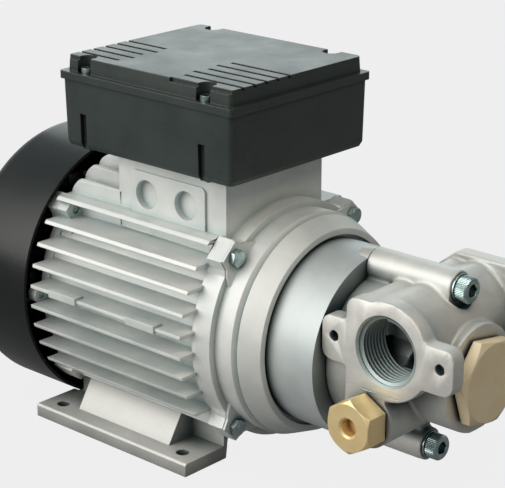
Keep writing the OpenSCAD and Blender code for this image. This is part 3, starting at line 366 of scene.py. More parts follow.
def bake_modifiers(piece: Piece) -> None:
    """Applies all modifiers of a piece to its mesh.

    Args:
        piece: The piece, which keeps no modifier.
    """
    graph = bpy.context.evaluated_depsgraph_get()
    graph.update()
    mesh = bpy.data.meshes.new_from_object(piece.evaluated_get(graph))
    piece.modifiers.clear()
    piece.data = mesh


def cut_with(piece: Piece, tools: list[Piece], operation: str = "DIFFERENCE") -> None:
    """Cuts a piece with closed tool meshes and removes the tools.

    Args:
        piece: The piece to cut.
        tools: The closed cutting shapes.
        operation: DIFFERENCE takes the tools away, INTERSECT keeps what lies in them, UNION adds them.
    """
    for tool in tools:
        step = piece.modifiers.new("cut", "BOOLEAN")
        step.operation = operation
        step.solver = "MANIFOLD"
        step.object = tool
    bake_modifiers(piece)
    for tool in tools:
        bpy.data.objects.remove(tool)


def lathe(outline: list[Pair], steps: int = 48, ring: bool = False) -> bmesh.types.BMesh:
    """Turns an outline round the X axis.

    Args:
        outline: Points of (along X, radius) in millimetres, from axis to axis, or once round a ring's section.
        steps: Number of steps in the full turn.
        ring: Whether the outline closes on itself away from the axis.

    Returns:
        A closed bmesh with outward faces.
    """
    bm = bmesh.new()
    points = [bm.verts.new((x, 0, r)) for x, r in outline]
    edges = [bm.edges.new(pair) for pair in zip(points, points[1:] + points[:1] if ring else points[1:])]
    bmesh.ops.spin(bm, geom=points + edges, cent=(0, 0, 0), axis=(1, 0, 0), dvec=(0, 0, 0),
                   angle=math.tau, steps=steps, use_merge=True)
    bmesh.ops.remove_doubles(bm, verts=bm.verts, dist=1e-4)
    bmesh.ops.recalc_face_normals(bm, faces=bm.faces)
    return bm


def rod(start: Vector, end: Vector, radius: float, far_radius: float | None = None,
        sides: int = 64) -> Piece:
    """Makes a cylinder or cone between two points as a cutting tool.

    Args:
        start: Centre of the first end, in millimetres.
        end: Centre of the second end.
        radius: Radius at the first end.
        far_radius: Radius at the second end, if it differs.
        sides: Number of sides.

    Returns:
        The tool object.
    """
    along = end - start
    turn = Vector((0, 0, 1)).rotation_difference(along).to_matrix().to_4x4()
    bm = bmesh.new()
    bmesh.ops.create_cone(bm, cap_ends=True, segments=sides, radius1=radius,
                          radius2=radius if far_radius is None else far_radius, depth=along.length,
                          matrix=Matrix.Translation((start + end) / 2) @ turn)
    return place_mesh(bm, "tool")


def rod_x(start: float, end: float, z: float, radius: float, far_radius: float | None = None,
          sides: int = 64) -> Piece:
    """Returns a rod along X over the shaft's line, at height z."""
    return rod(Vector((start, 0, z)), Vector((end, 0, z)), radius, far_radius, sides)


def rod_y(x: float, z: float, start: float, end: float, radius: float, far_radius: float | None = None,
          sides: int = 64) -> Piece:
    """Returns a rod along Y between two values of Y, at x and z."""
    return rod(Vector((x, start, z)), Vector((x, end, z)), radius, far_radius, sides)


def slab(low: Triple, high: Triple) -> Piece:
    """Makes a box between two corners as a cutting tool.

    Args:
        low: The corner with the lowest values, in millimetres.
        high: The corner with the highest values.

    Returns:
        The tool object.
    """
    bm = bmesh.new()
    size = Vector(high) - Vector(low)
    bmesh.ops.create_cube(bm, size=1.0, matrix=Matrix.Translation((Vector(low) + Vector(high)) / 2)
                          @ Matrix.Diagonal((*size, 1.0)))
    return place_mesh(bm, "tool")


def copy_node(node: str, name: str) -> Piece:
    """Makes a merged copy of a CAD node's mesh to work on.

    Args:
        node: The CAD node.
        name: The name of the copy.

    Returns:
        The copy, in metres.
    """
    bm = bmesh.new()
    bm.from_mesh(frame["nodes"][node].data)
    bmesh.ops.remove_doubles(bm, verts=bm.verts, dist=1e-6)
    bmesh.ops.scale(bm, vec=(1 / MM, 1 / MM, 1 / MM), verts=bm.verts)
    return place_mesh(bm, name)


def join(parts: list[Piece], name: str) -> Piece:
    """Joins several objects at the origin into one mesh.

    Args:
        parts: The objects, which are removed.
        name: The name of the joined object.

    Returns:
        The joined object.
    """
    bm = bmesh.new()
    for part in parts:
        bm.from_mesh(part.data)
        bpy.data.objects.remove(part)
    bmesh.ops.scale(bm, vec=(1 / MM, 1 / MM, 1 / MM), verts=bm.verts)
    return place_mesh(bm, name)


@dataclass
class Maker:
    """What all makers share: the paint, and how a piece of the still body is completed."""

    paint: Paint

    def complete(self, piece: Piece, slot: str, *nodes: str, finish: Shop | None = None,
                 sharp_deg: float = 32.0) -> None:
        """Shades and dresses a piece, ties it to its body and hides the CAD nodes that it stands for.

        Args:
            piece: The finished piece.
            slot: The name of its material slot, which finds its finish.
            *nodes: The CAD nodes that it replaces, if any.
            finish: Its finish, where that isn't the slot's own.
            sharp_deg: The bend of an edge from which it is sharp.
        """
        shade_by_angle(piece.data, sharp_deg)
        self.paint.dress(piece, finish or Shop[slot.upper()])
        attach(piece, "pump_unit")
        if nodes:
            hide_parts(*nodes)
        LOG.info("made %s: %d faces", piece.name, len(piece.data.polygons))


@dataclass
class Studio:
    """Camera, floor and soft lights."""

    camera_place: Triple = (0.6321, -0.6510, 0.4091)
    camera_azimuth: float = 42.177
    camera_elevation: float = 19.12
    focal_px: float = 1803.0
    frame_px: float = 505.0
    sensor_mm: float = 36.0
    floor_half: float = 6.0
    backdrop: str = "#ededed"
    floor_seen: str = "#fafafa"
    floor_lit: str = "#666666"
    floor_rough: float = 0.9
    floor_gloss: float = 0.2
    shadow_share: float = 0.12
    mirror_share: float = 0.15
    sky_strength: float = 0.75
    sky: str = "#b4bebe"
    # Each tint of the sky: the axis that it lies along, where it begins and is full, and its colour.
    tints: tuple[tuple[str, float, float, str], ...] = (
        ("Z", 0.3, 0.9, "#83979c"), ("X", 0.0, 0.6, "#3d4847"), ("X", -0.2, -0.9, "#c6cfcf"),
        ("Y", -0.4, -1.0, "#f1f1ee"))
    lamp_aim: Triple = (0.03, 0.0, 0.09)
    # Each lamp: its name, place, side in metres, power in watts and colour.
    lamp_rows: tuple[tuple[str, Triple, float, float, str], ...] = (
        ("near", (-0.6, -1.45, 1.0), 1.9, 28, "#fffbf5"), ("behind", (-1.0, 1.2, 0.75), 1.2, 5, "#e6f0f2"),
        ("right", (0.95, -0.1, 1.45), 0.7, 8, "#fff0de"))

    def build(self) -> None:
        """Makes the camera, the lights, the world and the floor."""
        self.camera()
        self.lamps()
        self.world()
        self.floor()
        bpy.context.scene.view_settings.view_transform = "Standard"

    def camera(self) -> None:
        """Puts the camera where the photograph was taken from."""
        data = bpy.data.cameras.new("photo_camera")
        data.sensor_width = self.sensor_mm
        data.lens = self.focal_px / self.frame_px * self.sensor_mm
        data.clip_end = 50
        camera = bpy.data.objects.new("photo_camera", data)
        camera.location = self.camera_place
        camera.rotation_euler = (math.radians(90 - self.camera_elevation), 0, math.radians(self.camera_azimuth))
        bpy.context.collection.objects.link(camera)
        bpy.context.scene.camera = camera

    def lamps(self) -> None:
        """Hangs a large lamp on the near side, a low one behind and a steep, warm one on the right."""
        for name, place, size, power, colour in self.lamp_rows:
            data = bpy.data.lights.new(name, "AREA")
            data.shape, data.size, data.energy = "SQUARE", size, power
            data.color = linear(colour)[:3]
            lamp = bpy.data.objects.new(name, data)
            lamp.location = place
            lamp.rotation_euler = (Vector(self.lamp_aim) - Vector(place)).to_track_quat("-Z", "Y").to_euler()
            bpy.context.collection.objects.link(lamp)

    def world(self) -> None:
        """Surrounds the object with soft light: pale on the near side, teal above, dark on the right."""
        world = bpy.data.worlds.new("studio")
        bpy.context.scene.world = world
        world.use_nodes = True
        tree = world.node_tree
        tree.nodes.clear()
        way = add_node(tree, "SeparateXYZ", {0: add_node(tree, "TexCoord").outputs["Generated"]}).outputs
        colour: Any = linear(self.sky)
        for axis, start, end, tint in self.tints:
            amount = add_node(tree, "MapRange", {"Value": way[axis], "From Min": start, "From Max": end})
            colour = add_node(tree, "Mix", {"Factor": amount.outputs["Result"], "A": colour, "B": linear(tint)},
                              data_type="RGBA").outputs["Result"]
        light = add_node(tree, "Background", {"Color": colour, "Strength": self.sky_strength})
        seen = add_node(tree, "Background", {"Color": linear(self.backdrop), "Strength": 1.0})
        mix = add_node(tree, "MixShader", {0: self.sight(tree), 1: light.outputs[0], 2: seen.outputs[0]})
        add_node(tree, "OutputWorld", {0: mix.outputs[0]})

    def sight(self, tree: Tree) -> Socket:
        """Says how much of the backdrop a ray shows: all of it directly or through, a share in a mirror.

        Args:
            tree: The node tree of the world or the floor.

        Returns:
            The share as a socket.
        """
        path = add_node(tree, "LightPath").outputs
        direct = add_node(tree, "Math", {0: path["Is Camera Ray"], 1: path["Is Transmission Ray"]},
                          operation="ADD")
        return add_node(tree, "Math", {0: path["Is Glossy Ray"], 1: self.mirror_share, 2: direct.outputs[0]},
                        operation="MULTIPLY_ADD", use_clamp=True).outputs[0]

    def floor(self) -> None:
        """Lays the pale floor: even backdrop colour for the camera, with a light share of real shadow."""
        bm = bmesh.new()
        bmesh.ops.create_grid(bm, x_segments=1, y_segments=1, size=self.floor_half / MM)
        floor = place_mesh(bm, "floor")
        material = bpy.data.materials.new("matt_pale_floor")
        material.use_nodes = True
        tree = material.node_tree
        shader = tree.nodes["Principled BSDF"]
        shader.inputs["Base Color"].default_value = linear(self.floor_lit)
        shader.inputs["Roughness"].default_value = self.floor_rough
        shader.inputs["Specular IOR Level"].default_value = self.floor_gloss
        even = add_node(tree, "Emission", {"Color": linear(self.floor_seen), "Strength": 1.0})
        share = add_node(tree, "Math", {0: self.sight(tree), 1: 1.0 - self.shadow_share}, operation="MULTIPLY")
        mix = add_node(tree, "MixShader", {0: share.outputs[0], 1: shader.outputs[0], 2: even.outputs[0]})
        tree.links.new(mix.outputs[0], tree.nodes["Material Output"].inputs["Surface"])
        floor.data.materials.append(material)


@dataclass
class CadFinishes(Maker):
    """Gives each CAD node the finish of its material slot."""

    def build(self) -> None:
        """Dresses every node of the frame."""
        slots = {row["node"]: row["material_slot"] for row in frame["record"]["subparts"]}
        for name, piece in frame["nodes"].items():
            finish = Shop[slots[name].upper()]
            self.paint.dress(piece, finish)
            LOG.info("dressed %s with %s", name, finish.value.name)


@dataclass
class PumpCasting(Maker):
    """The cast pump body: soft in every fillet, then cut crisp where a tool has been."""

    voxel_mm: float = 0.8
    passes: int = 5
    soften: float = 0.5
    # What milling takes off a face, and how much wider than in the CAD a bore is cut.
    skim: float = 0.25
    ease: float = 0.15
    # How far a tool starts outside the metal, runs on past a bore and runs on past the valve's end.
    clear: float = 4.0
    over: float = 2.0
    past: float = 9.0
    # The milling blocks: the first one's start, half their length, their reach in Y and their heights.
    block_x: float = 115.0
    block_half: float = 50.0
    block_y: float = 60.0
    low_z: float = 20.0
    high_z: float = 125.0
    x_gears: float = 123.4
    x_valve: float = 186.4
    valve_face_r: float = 28.5
    valve_bore_x: float = 153.3
    valve_bore_r: float = 12.0
    port_x: float = 162.6
    port_z: float = 90.4
    port_face: float = 42.0
    port_r: float = 16.6
    port_depth: float = 20.0
    port_chamfer: float = 2.2
    chamfer_y: Pair = (1.0, 1.2)
    core_r: float = 14.6
    core_depth: float = 27.0
    ear_half: float = 30.8
    ear_hole_r: float = 2.5
    outlet_hole_r: float = 2.75
    ear_t: float = 9.0
    plug_x: float = 152.6
    plug_z: float = 54.0
    plug_face: float = 42.15
    plug_bore_r: float = 6.6
    plug_bore_end: float = 31.0
    boss_half: float = 17.0
    # Over the plug: where the port face's block begins, and where the plug boss's block ends.
    port_over_plug: float = 15.0
    boss_over_plug: float = 14.8
    boss_top_x: float = 170.4
    boss_low_x: float = 156.4
    boss_face_r: float = 9.5
    clamp_r: float = 42.5
    clamp_hole_r: float = 4.1
    arm_more: float = 3.0
    arm_r: float = 8.3
    tube_r: float = 27.0
    tube_keep_r: float = 23.9
    flank_shift: float = 5.0
    barrel_keep_r: float = 27.2
    arm_keep: float = 0.6
    # The outlet plate's outline round the port, as distances in X from it and heights.
    plate: tuple[Pair, ...] = ((-31.6, 104.0), (-15.8, 116.6), (15.8, 116.6), (31.6, 104.0), (25.0, 90.0),
                               (-25.0, 90.0))

    def build(self) -> None:
        """Melts a copy of the CAD casting into soft forms and machines it."""
        skin = copy_node("pump_body", "cast_pump_body")
        cut_with(skin, [self.hollow_flank()])
        skin = join([skin, self.outlet_plate(), *self.arms()], "cast_pump_body")
        melt = skin.modifiers.new("melt", "REMESH")
        melt.mode = "VOXEL"
        melt.voxel_size = self.voxel_mm * MM
        soften = skin.modifiers.new("soften", "SMOOTH")
        soften.factor = self.soften
        soften.iterations = self.passes
        bake_modifiers(skin)
        cut_with(skin, self.milling_tools() + self.bores())
        self.complete(skin, "pump_aluminium", "pump_body")
        self.mark_machined(skin)

    def screws(self) -> list[Pair]:
        """Returns the height of each clamping screw and where its boss ends in the CAD."""
        return [(SHAFT_Z + self.clamp_r, self.boss_top_x), (SHAFT_Z - self.clamp_r, self.boss_low_x)]

    def hollow_flank(self) -> Piece:
        """Makes the tool that narrows the cross tube beside the end of the valve barrel.

        Returns:
            A crescent along the tube that spares the barrel and the upper boss.
        """
        half, far, over = self.port_face - self.ear_t - 0.5, self.x_valve + self.past, self.over
        px, pz, centre = self.port_x, self.port_z, self.port_x - self.flank_shift
        flank = rod_y(px, pz, -half, half, self.tube_r)
        cut_with(flank, [rod_y(centre, pz, -half - over, half + over, self.tube_keep_r),
                         rod_x(self.x_gears, far, SHAFT_Z, self.barrel_keep_r),
                         rod_x(self.x_gears, far, SHAFT_Z + self.clamp_r, self.arm_r + self.arm_keep),
                         slab((px - 40, -half - over, self.low_z), (centre, half + over, self.high_z + 5))])
        return flank

    def outlet_plate(self) -> Piece:
        """Makes the straight-topped plate that stands behind the outlet flange.

        Returns:
            The plate, as thick as the ears.
        """
        bm = bmesh.new()
        face = bm.faces.new([bm.verts.new((self.port_x + step, self.port_face - self.ear_t, z))
                             for step, z in self.plate])
        grown = bmesh.ops.extrude_face_region(bm, geom=[face])["geom"]
        bmesh.ops.translate(bm, vec=(0, self.ear_t, 0), verts=[v for v in grown if isinstance(v, bmesh.types.BMVert)])
        bmesh.ops.recalc_face_normals(bm, faces=bm.faces)
        return place_mesh(bm, "outlet_plate")

    def arms(self) -> list[Piece]:
        """Returns the ends by which the two screw bosses are longer than in the CAD."""
        return [rod_x(end - self.clear, end + self.arm_more, z, self.arm_r) for z, end in self.screws()]

    def milling_tools(self) -> list[Piece]:
        """Makes the tools that mill the flat faces.

        Returns:
            Blocks and wide rods that each take a skim off one face.
        """
        face, wide = self.port_face, self.block_y
        left, right = self.port_x - self.block_half, self.port_x + self.block_half
        made = [
            slab((self.block_x, -wide, self.low_z), (self.x_gears + 0.05, wide, self.high_z)),
            rod_x(self.x_valve - self.skim, self.x_valve + self.past, SHAFT_Z, self.valve_face_r),
            slab((left, -wide, self.plug_z + self.port_over_plug), (right, self.skim - face, self.high_z)),
            slab((left, face - self.skim, self.low_z), (right, wide, self.high_z)),
            slab((self.plug_x - self.boss_half, -wide, self.plug_z - self.boss_half),
                 (self.plug_x + self.boss_half, self.skim - self.plug_face, self.plug_z + self.boss_over_plug)),
        ]
        return made + [rod_x(end + self.arm_more - self.skim, self.x_valve, z, self.boss_face_r)
                       for z, end in self.screws()]

    def bores(self) -> list[Piece]:
        """Makes the tools that bore the valve, the plug's hole, the ports and the screw holes.

        Returns:
            Rods, each a little wider than the hole's CAD radius.
        """
        px, pz, face, clear = self.port_x, self.port_z, self.port_face, self.clear
        made = [
            rod_x(self.valve_bore_x, self.x_valve + self.over, SHAFT_Z, self.valve_bore_r + self.ease),
            rod_y(self.plug_x, self.plug_z, -50, -self.plug_bore_end, self.plug_bore_r + self.ease),
        ]
        out, down = self.chamfer_y
        for side in (-1, 1):
            mouth = side * (face - self.skim)
            hole = self.ear_hole_r if side < 0 else self.outlet_hole_r
            made += [
                rod_y(px, pz, side * (face + clear), side * (face - self.port_depth), self.port_r + self.ease),
                rod_y(px, pz, side * (face - 5), side * (face - self.core_depth), self.core_r + self.ease),
                rod_y(px, pz, mouth + side * out, mouth - side * down, self.port_r + self.port_chamfer, self.port_r),
            ]
            made += [rod_y(px + step, pz, side * (face + clear), side * (face - self.ear_t - clear),
                           hole + self.ease, sides=32) for step in (-self.ear_half, self.ear_half)]
        return made + [rod_x(self.x_gears - self.over, end + self.arm_more + 1, z, self.clamp_hole_r + self.ease,
                             sides=32) for z, end in self.screws()]

    def mark_machined(self, skin: Piece) -> None:
        """Gives the milled faces and the port bores their own finishes.

        Args:
            skin: The machined casting, which has one finish so far.
        """
        for finish in (Shop.MILLED_ALUMINIUM, Shop.THREAD_ALUMINIUM):
            skin.data.materials.append(self.paint.material(finish))
        near, facing, rim = NEAR_PLANE * MM, 0.99, 1.4
        face, end = (self.port_face - self.skim) * MM, (self.x_valve - self.skim) * MM
        for polygon in skin.data.polygons:
            centre, normal = polygon.center, polygon.normal
            on_face = abs(abs(centre.y) - face) < near and abs(normal.y) > facing
            on_end = abs(centre.x - end) < near and normal.x > facing
            reach = math.hypot(centre.x - self.port_x * MM, centre.z - self.port_z * MM)
            deep = abs(centre.y) > (self.port_face - self.core_depth) * MM
            if on_face or on_end:
                polygon.material_index = 1
            elif reach < (self.port_r + rim) * MM and deep:
                polygon.material_index = 2


@dataclass
class PortThreads(Maker):
    """The pipe threads in both ports, 11 turns to the inch."""

    casting: PumpCasting
    pitch: float = 2.309
    turns: int = 8
    steps: int = 60
    crest_r: float = 15.25
    mouth: float = 1.6
    bite: float = 0.2
    # Half the ridge's width at its root and at its crest, as shares of the pitch.
    root_half: float = 0.46
    crest_half: float = 0.06

    def build(self) -> None:
        """Winds one thread into each port."""
        for side, name in ((-1, "inlet_thread"), (1, "outlet_thread")):
            self.complete(self.wind(side, name), "pump_aluminium", finish=Shop.THREAD_ALUMINIUM)

    def wind(self, side: int, name: str) -> Piece:
        """Sweeps the thread's ridge round and down a bore.

        Args:
            side: -1 for the near port, 1 for the far one.
            name: The piece's name.

        Returns:
            The thread as a closed ridge.
        """
        casting = self.casting
        root = casting.port_r + casting.ease + self.bite
        start = casting.port_face - self.mouth
        half, flat = self.pitch * self.root_half, self.pitch * self.crest_half
        bm = bmesh.new()
        ridge = [(root, -half), (self.crest_r, -flat), (self.crest_r, flat), (root, half)]
        points = [bm.verts.new((casting.port_x, side * (start + along), casting.port_z + r)) for r, along in ridge]
        edges = [bm.edges.new((points[i], points[(i + 1) % 4])) for i in range(4)]
        bm.faces.new(points)
        end = bmesh.ops.spin(bm, geom=points + edges, axis=(0, -side, 0),
                             cent=(casting.port_x, 0, casting.port_z),
                             dvec=(0, -side * self.pitch / self.steps, 0),
                             angle=math.tau * self.turns, steps=self.steps * self.turns)
        last = [item for item in end["geom_last"] if isinstance(item, bmesh.types.BMEdge)]
        bmesh.ops.contextual_create(bm, geom=last)
        bmesh.ops.recalc_face_normals(bm, faces=bm.faces)
        return place_mesh(bm, name)


@dataclass
class SocketScrews(Maker):
    """The two long socket head screws that clamp the pump body, with knurled heads."""

    head_r: float = 6.5
    head_h: float = 6.4
    foot_bevel: float = 0.5
    foot_rise: float = 0.4
    # The rounded top edge of the head, as (below the top, inside the radius).
    crown: tuple[Pair, ...] = ((1.0, 0.0), (0.2, 0.7), (0.0, 1.2))
    shank_r: float = 4.0
    tip_bevel: float = 0.6
    socket_af: float = 6.0
    socket_depth: float = 4.5
    sink: float = 0.6
    sink_r: Pair = (2.9, 4.1)
    knurl: float = 0.22
    knurl_lines: int = 96
    washer_t: float = 1.2
    washer_gap: float = 0.25
    washer_more: float = 0.5
    washer_bevel: float = 0.2
    places: tuple[Pair, ...] = ((174.4, 113.5), (160.4, 28.5))
    seat_back: float = 86.0

    def build(self) -> None:
        """Makes both screws as one piece."""
        screws = []
        for x, z in self.places:
            reach, top = x - self.seat_back, x + self.head_h
            crown = [(self.head_h - below, self.head_r - inside) for below, inside in self.crown]
            bm = lathe([(-reach, 0), (-reach, self.shank_r - self.tip_bevel), (self.tip_bevel - reach, self.shank_r),
                        (0, self.shank_r), (0, self.head_r - self.foot_bevel), (self.foot_rise, self.head_r),
                        *crown, (self.head_h, 0)], steps=self.knurl_lines)
            self.cut_knurl(bm)
            screw = place_mesh(bm, "clamp_socket_screw", (x, 0, z))
            cut_with(screw, [rod_x(top - self.socket_depth, top + 1, z, self.socket_af / math.sqrt(3), sides=6),
                             rod_x(top - self.sink, top + self.sink, z, *self.sink_r)])
            screws.append(screw)
        self.complete(join(screws, "clamp_socket_screws"), "zinc_steel", "clamp_screws", sharp_deg=HEX_SHARP)
        self.washers()

    def washers(self) -> None:
        """Makes the plain washers under both heads."""
        rings = []
        inner, outer, bevel = self.shank_r + self.washer_gap, self.head_r + self.washer_more, self.washer_bevel
        for x, z in self.places:
            back = x - self.washer_t
            bm = lathe([(back, inner), (back, outer - bevel), (back + bevel, outer), (x - bevel, outer),
                        (x, outer - bevel), (x, inner)], 64, ring=True)
            rings.append(place_mesh(bm, "washer", (0, 0, z)))
        self.complete(join(rings, "clamp_plain_washers"), "zinc_steel", "clamp_washers")

    def cut_knurl(self, bm: bmesh.types.BMesh) -> None:
        """Presses every other line of the head's side in a little.

        Args:
            bm: The screw along X, with its seat at zero.
        """
        for vert in bm.verts:
            radius = math.hypot(vert.co.y, vert.co.z)
            if radius > self.head_r - NEAR_RADIUS and self.foot_rise / 2 < vert.co.x < self.head_h:
                step = round(math.atan2(vert.co.z, vert.co.y) / (math.tau / self.knurl_lines))
                if step % 2:
                    vert.co.yz = vert.co.yz * ((radius - self.knurl) / radius)


@dataclass
class CornerBolts(Maker):
    """Hexagon bolts at the four corners of one end shield, with chamfered heads."""

    name: str
    node: str
    seat_x: float
    side: int
    length: float
    across: float = 8.0
    head_h: float = 3.4
    shank_r: float = 2.5
    circle_r: float = 63.5
    first_deg: float = 45.0
    sunk: float = 0.1
    # The turned envelope of the head, as (height, radius past the hexagon's corners).
    foot: tuple[Pair, ...] = ((-0.1, -0.15), (0.3, 0.1))
    # The same at the top, as (below the top, radius past the corners).
    crown: tuple[Pair, ...] = ((0.75, 0.1), (0.05, -0.8), (0.0, -1.4))

    def build(self) -> None:
        """Makes the four bolts as one piece."""
        bolts = []
        for quarter in range(4):
            bolt = self.bolt()
            angle = math.radians(self.first_deg + 90 * quarter)
            place = Vector((self.seat_x, self.circle_r * math.cos(angle),
                            SHAFT_Z + self.circle_r * math.sin(angle))) * MM
            turn = Matrix.Rotation(angle, 4, "X")
            flip = Matrix.Rotation(0 if self.side > 0 else math.pi, 4, "Z")
            bolt.data.transform(Matrix.Translation(place) @ turn @ flip)
            bolts.append(bolt)
        self.complete(join(bolts, self.name), "zinc_steel", self.node, sharp_deg=HEX_SHARP)

    def bolt(self) -> Piece:
        """Makes one bolt along X, seated at the origin.

        Returns:
            The bolt in metres.
        """
        corner = self.across / math.sqrt(3)
        head = rod_x(0, self.head_h, 0, corner, sides=6)
        foot = [(height, corner + past) for height, past in self.foot]
        crown = [(self.head_h - below, corner + past) for below, past in self.crown]
        envelope = lathe([(-self.sunk, 0), *foot, *crown, (self.head_h, 0)])
        cut_with(head, [place_mesh(envelope, "tool")], "INTERSECT")
        end = self.foot[-1][0] + self.sunk
        shank = lathe([(-self.length, 0), (-self.length, self.shank_r), (end, self.shank_r), (end, 0)], 24)
        return join([head, place_mesh(shank, "shank")], "bolt")


@dataclass
class FrameCasting(Maker):
    """The finned frame and its front shield, with drafted corner lugs."""

    ring_back: float = 58.0
    seam: float = 70.0
    lug_front: float = 72.8
    lug_thin: float = 1.4
    lug_draft: float = 2.4
    lug_start: float = 3.0
    lug_rise: float = 1.5
    lug_width: float = 8.5
    ring_r: float = 62.0
    shield_r: float = 58.4
    groove_r: float = 56.6
    groove_more: float = 1.8
    taper_x0: float = 84.1
    taper_x1: float = 95.0
    taper_r0: float = 57.2
    taper_r1: float = 52.5
    fin_end: float = -13.0
    fin_face: float = -40.9
    pedestal_face: float = -40.02
    sharp_deg: float = 28.0

    def build(self) -> None:
        """Makes both castings."""
        self.frame_skin()
        self.shield_skin()

    def frame_skin(self) -> None:
        """Slopes the backs of the corner lugs and runs the outer top fin flush into the pedestal."""
        skin = copy_node("motor_housing", "cast_motor_frame")
        for vert in skin.data.vertices:
            x, y, z = (c / MM for c in vert.co)
            reach = (abs(y) + abs(z - SHAFT_Z)) / math.sqrt(2)
            on_lug = math.hypot(y, z - SHAFT_Z) > self.ring_r + NEAR_RADIUS and reach > self.ring_r - self.lug_start
            if abs(x - self.ring_back) < NEAR_PLANE and on_lug:
                slope = max(reach - self.ring_r + self.lug_rise, 0.0) / self.lug_width
                vert.co.x += self.lug_draft * slope * MM
            if abs(x - self.fin_end) < NEAR_PLANE and abs(y - self.fin_face) < NEAR_PLANE:
                vert.co.y = self.pedestal_face * MM
        self.complete(skin, "cast_aluminium", "motor_housing", sharp_deg=self.sharp_deg)

    def shield_skin(self) -> None:
        """Thins the four ears of the front shield, evens its taper and deepens its groove."""
        skin = copy_node("front_shield", "cast_front_shield")
        for vert in skin.data.vertices:
            radius = math.hypot(vert.co.y, vert.co.z - SHAFT_Z * MM) / MM
            if abs(vert.co.x / MM - self.lug_front) < NEAR_PLANE and radius > self.shield_r + NEAR_RADIUS:
                vert.co.x = (self.seam + self.lug_thin) * MM
            self.taper(vert, radius)
        self.complete(skin, "cast_aluminium", "front_shield", sharp_deg=self.sharp_deg)

    def taper(self, vert: bpy.types.MeshVertex, radius: float) -> None:
        """Moves one point of the shield's outside onto the even taper, or down into the groove.

        Args:
            vert: The point.
            radius: Its distance from the shaft's line, in millimetres.
        """
        along, wanted, end = vert.co.x / MM, radius, 0.3
        if abs(radius - self.groove_r) < NEAR_RADIUS and along < self.taper_x0:
            wanted = self.groove_r - self.groove_more
        elif self.taper_x0 < along < self.taper_x1 - end and radius > self.taper_r1 - NEAR_RADIUS:
            share = (along - self.taper_x0) / (self.taper_x1 - self.taper_x0)
            wanted = self.taper_r0 + (self.taper_r1 - self.taper_r0) * share
        if wanted != radius:
            vert.co.y *= wanted / radius
            vert.co.z = SHAFT_Z * MM + (vert.co.z - SHAFT_Z * MM) * wanted / radius


@dataclass
class FanCover(Maker):
    """The moulded fan cover: glossy outside, dull inside, with ribs behind the grille's bars."""

    back: float = -103.4
    rib_depth: float = 12.0
    rib_t: float = 1.4
    ring_foot: float = 0.3
    ring_radii: tuple[float, ...] = (22.0, 30.0, 38.0, 45.6)
    spokes: int = 24
    spoke_start: float = 14.5
    spoke_t: float = 1.12
    spoke_less: float = 0.6
    # A face is the cover's inside if it leans this far towards the axis or the motor.
    inward: float = 0.3

    def build(self) -> None:
        """Makes the cover's skin and its ribs."""
        skin = copy_node("fan_cover", "moulded_fan_cover")
        self.complete(skin, "black_plastic", "fan_cover")
        skin.data.materials.append(self.paint.material(Shop.DULL_BLACK))
        for polygon in skin.data.polygons:
            normal, y, z = polygon.normal, polygon.center.y, polygon.center.z - SHAFT_Z * MM
            if normal.y * y + normal.z * z < -self.inward * math.hypot(y, z) or normal.x > self.inward:
                polygon.material_index = 1
        self.ribs()

    def ribs(self) -> None:
        """Makes the ribs: a ring behind each bar and straight spokes between."""
        half, foot, front = self.rib_t / 2, self.back - self.ring_foot, self.back + self.rib_depth
        parts = []
        for radius in self.ring_radii:
            bm = lathe([(foot, radius - half), (front, radius - half), (front, radius + half),
                        (foot, radius + half)], 64, ring=True)
            parts.append(place_mesh(bm, "ring", (0, 0, SHAFT_Z)))
        length = self.ring_radii[-1] - self.spoke_start
        for index in range(self.spokes):
            bm = bmesh.new()
            turn = Matrix.Rotation(math.tau * (index + 0.5) / self.spokes, 4, "X")
            place = Matrix.Translation(((self.back + front) / 2, 0, self.spoke_start + length / 2))
            size = Matrix.Diagonal((self.rib_depth - self.spoke_less, self.spoke_t, length, 1.0))
            bmesh.ops.create_cube(bm, size=1.0, matrix=Matrix.Translation((0, 0, SHAFT_Z)) @ turn @ place @ size)
            parts.append(place_mesh(bm, "spoke"))
        self.complete(join(parts, "fan_cover_ribs"), "black_plastic", finish=Shop.DULL_BLACK, sharp_deg=0.0)


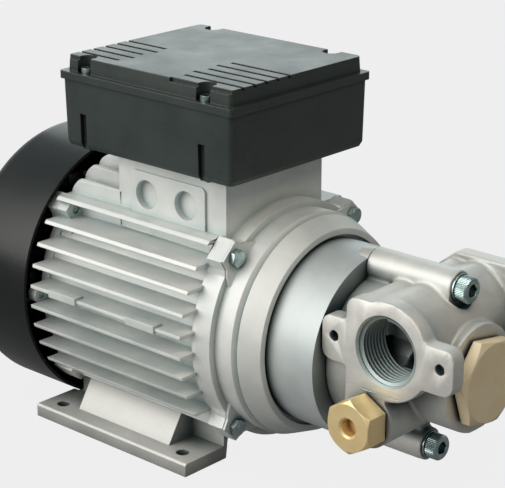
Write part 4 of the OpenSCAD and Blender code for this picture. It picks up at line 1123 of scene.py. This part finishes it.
@dataclass
class SmallPlug(Maker):
    """The small near plug: a hexagon chamfered to a round face, seated deeper than its CAD solid."""

    x: float = 152.6
    z: float = 54.0
    face_y: float = -56.2
    boss_y: float = -41.9
    washer_t: float = 1.2
    washer_less: float = 0.6
    across: float = 24.0
    face_r: float = 11.9
    chamfer_slope: float = 1.2
    hole_r: float = 4.3
    hole_depth: float = 6.0
    hole_sink: float = 2.0
    shank_r: float = 6.5
    shank_depth: float = 8.0

    def build(self) -> None:
        """Makes the plug and its washer."""
        x, z, seat, far, past = self.x, self.z, self.boss_y - self.washer_t, self.face_y, 0.5
        plug = rod_y(x, z, seat, far, self.across / math.sqrt(3), sides=6)
        wide = self.face_r + (seat + past - far) * self.chamfer_slope
        cut_with(plug, [rod_y(x, z, seat + past, far, wide, self.face_r)], "INTERSECT")
        cut_with(plug, [rod_y(x, z, seat - 1, self.boss_y + self.shank_depth, self.shank_r)], "UNION")
        cut_with(plug, [rod_y(x, z, far - 1, far + self.hole_depth, self.hole_r, sides=32),
                        rod_y(x, z, far - 1, far + 1.0, self.hole_r + self.hole_sink, self.hole_r, sides=32)])
        plug.name = "chamfered_small_plug"
        self.complete(plug, "plug_brass", "small_plug", finish=Shop.BRIGHT_BRASS, sharp_deg=HEX_SHARP)
        washer = rod_y(x, z, seat, self.boss_y, self.face_r - self.washer_less)
        washer.name = "copper_plug_washer"
        self.complete(washer, "washer_copper", "small_plug_washer")


@dataclass
class ReliefSpring(Maker):
    """The relief valve's spring, at the length of its CAD solid."""

    lift: float = 4.0
    sharp_deg: float = 50.0

    def build(self) -> None:
        """Makes the spring from its CAD solid."""
        spring = copy_node("relief_spring", "wound_relief_spring")
        self.complete(spring, "spring_steel", "relief_spring", sharp_deg=self.sharp_deg)
        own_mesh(spring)


@dataclass
class HousingPads(Maker):
    """The two pads on the gear housing that carry on the screw bosses of the pump body."""

    x_front: float = 123.35
    length: float = 7.0
    radius: float = 8.0
    draft: float = 0.8
    offset: float = 42.5
    housing_r: float = 46.9

    def build(self) -> None:
        """Makes both pads as one piece."""
        pads = []
        for z in (SHAFT_Z + self.offset, SHAFT_Z - self.offset):
            pad = rod_x(self.x_front - self.length, self.x_front, z, self.radius - self.draft, self.radius)
            cut_with(pad, [rod_x(90, 130, SHAFT_Z, self.housing_r)])
            pads.append(pad)
        self.complete(join(pads, "gear_housing_pads"), "turned_aluminium", finish=Shop.PUMP_ALUMINIUM)


def main() -> None:
    """Builds the studio, dresses the CAD and makes the finer pieces."""
    logging.basicConfig(level=logging.INFO)
    paint = Paint()
    casting = PumpCasting(paint)
    makers: list[Callable[[], None]] = [
        Studio().build,
        CadFinishes(paint).build,
        casting.build,
        PortThreads(paint, casting).build,
        SocketScrews(paint).build,
        SmallPlug(paint).build,
        ReliefSpring(paint).build,
        HousingPads(paint).build,
        FrameCasting(paint).build,
        FanCover(paint).build,
        CornerBolts(paint, "front_corner_bolts", "front_shield_bolts", seat_x=71.4, side=1, length=12.4).build,
        CornerBolts(paint, "rear_corner_bolts", "rear_shield_bolts", seat_x=-56.0, side=-1, length=13.0).build,
    ]
    for make in makers:
        make()


if __name__ == "__main__":
    main()
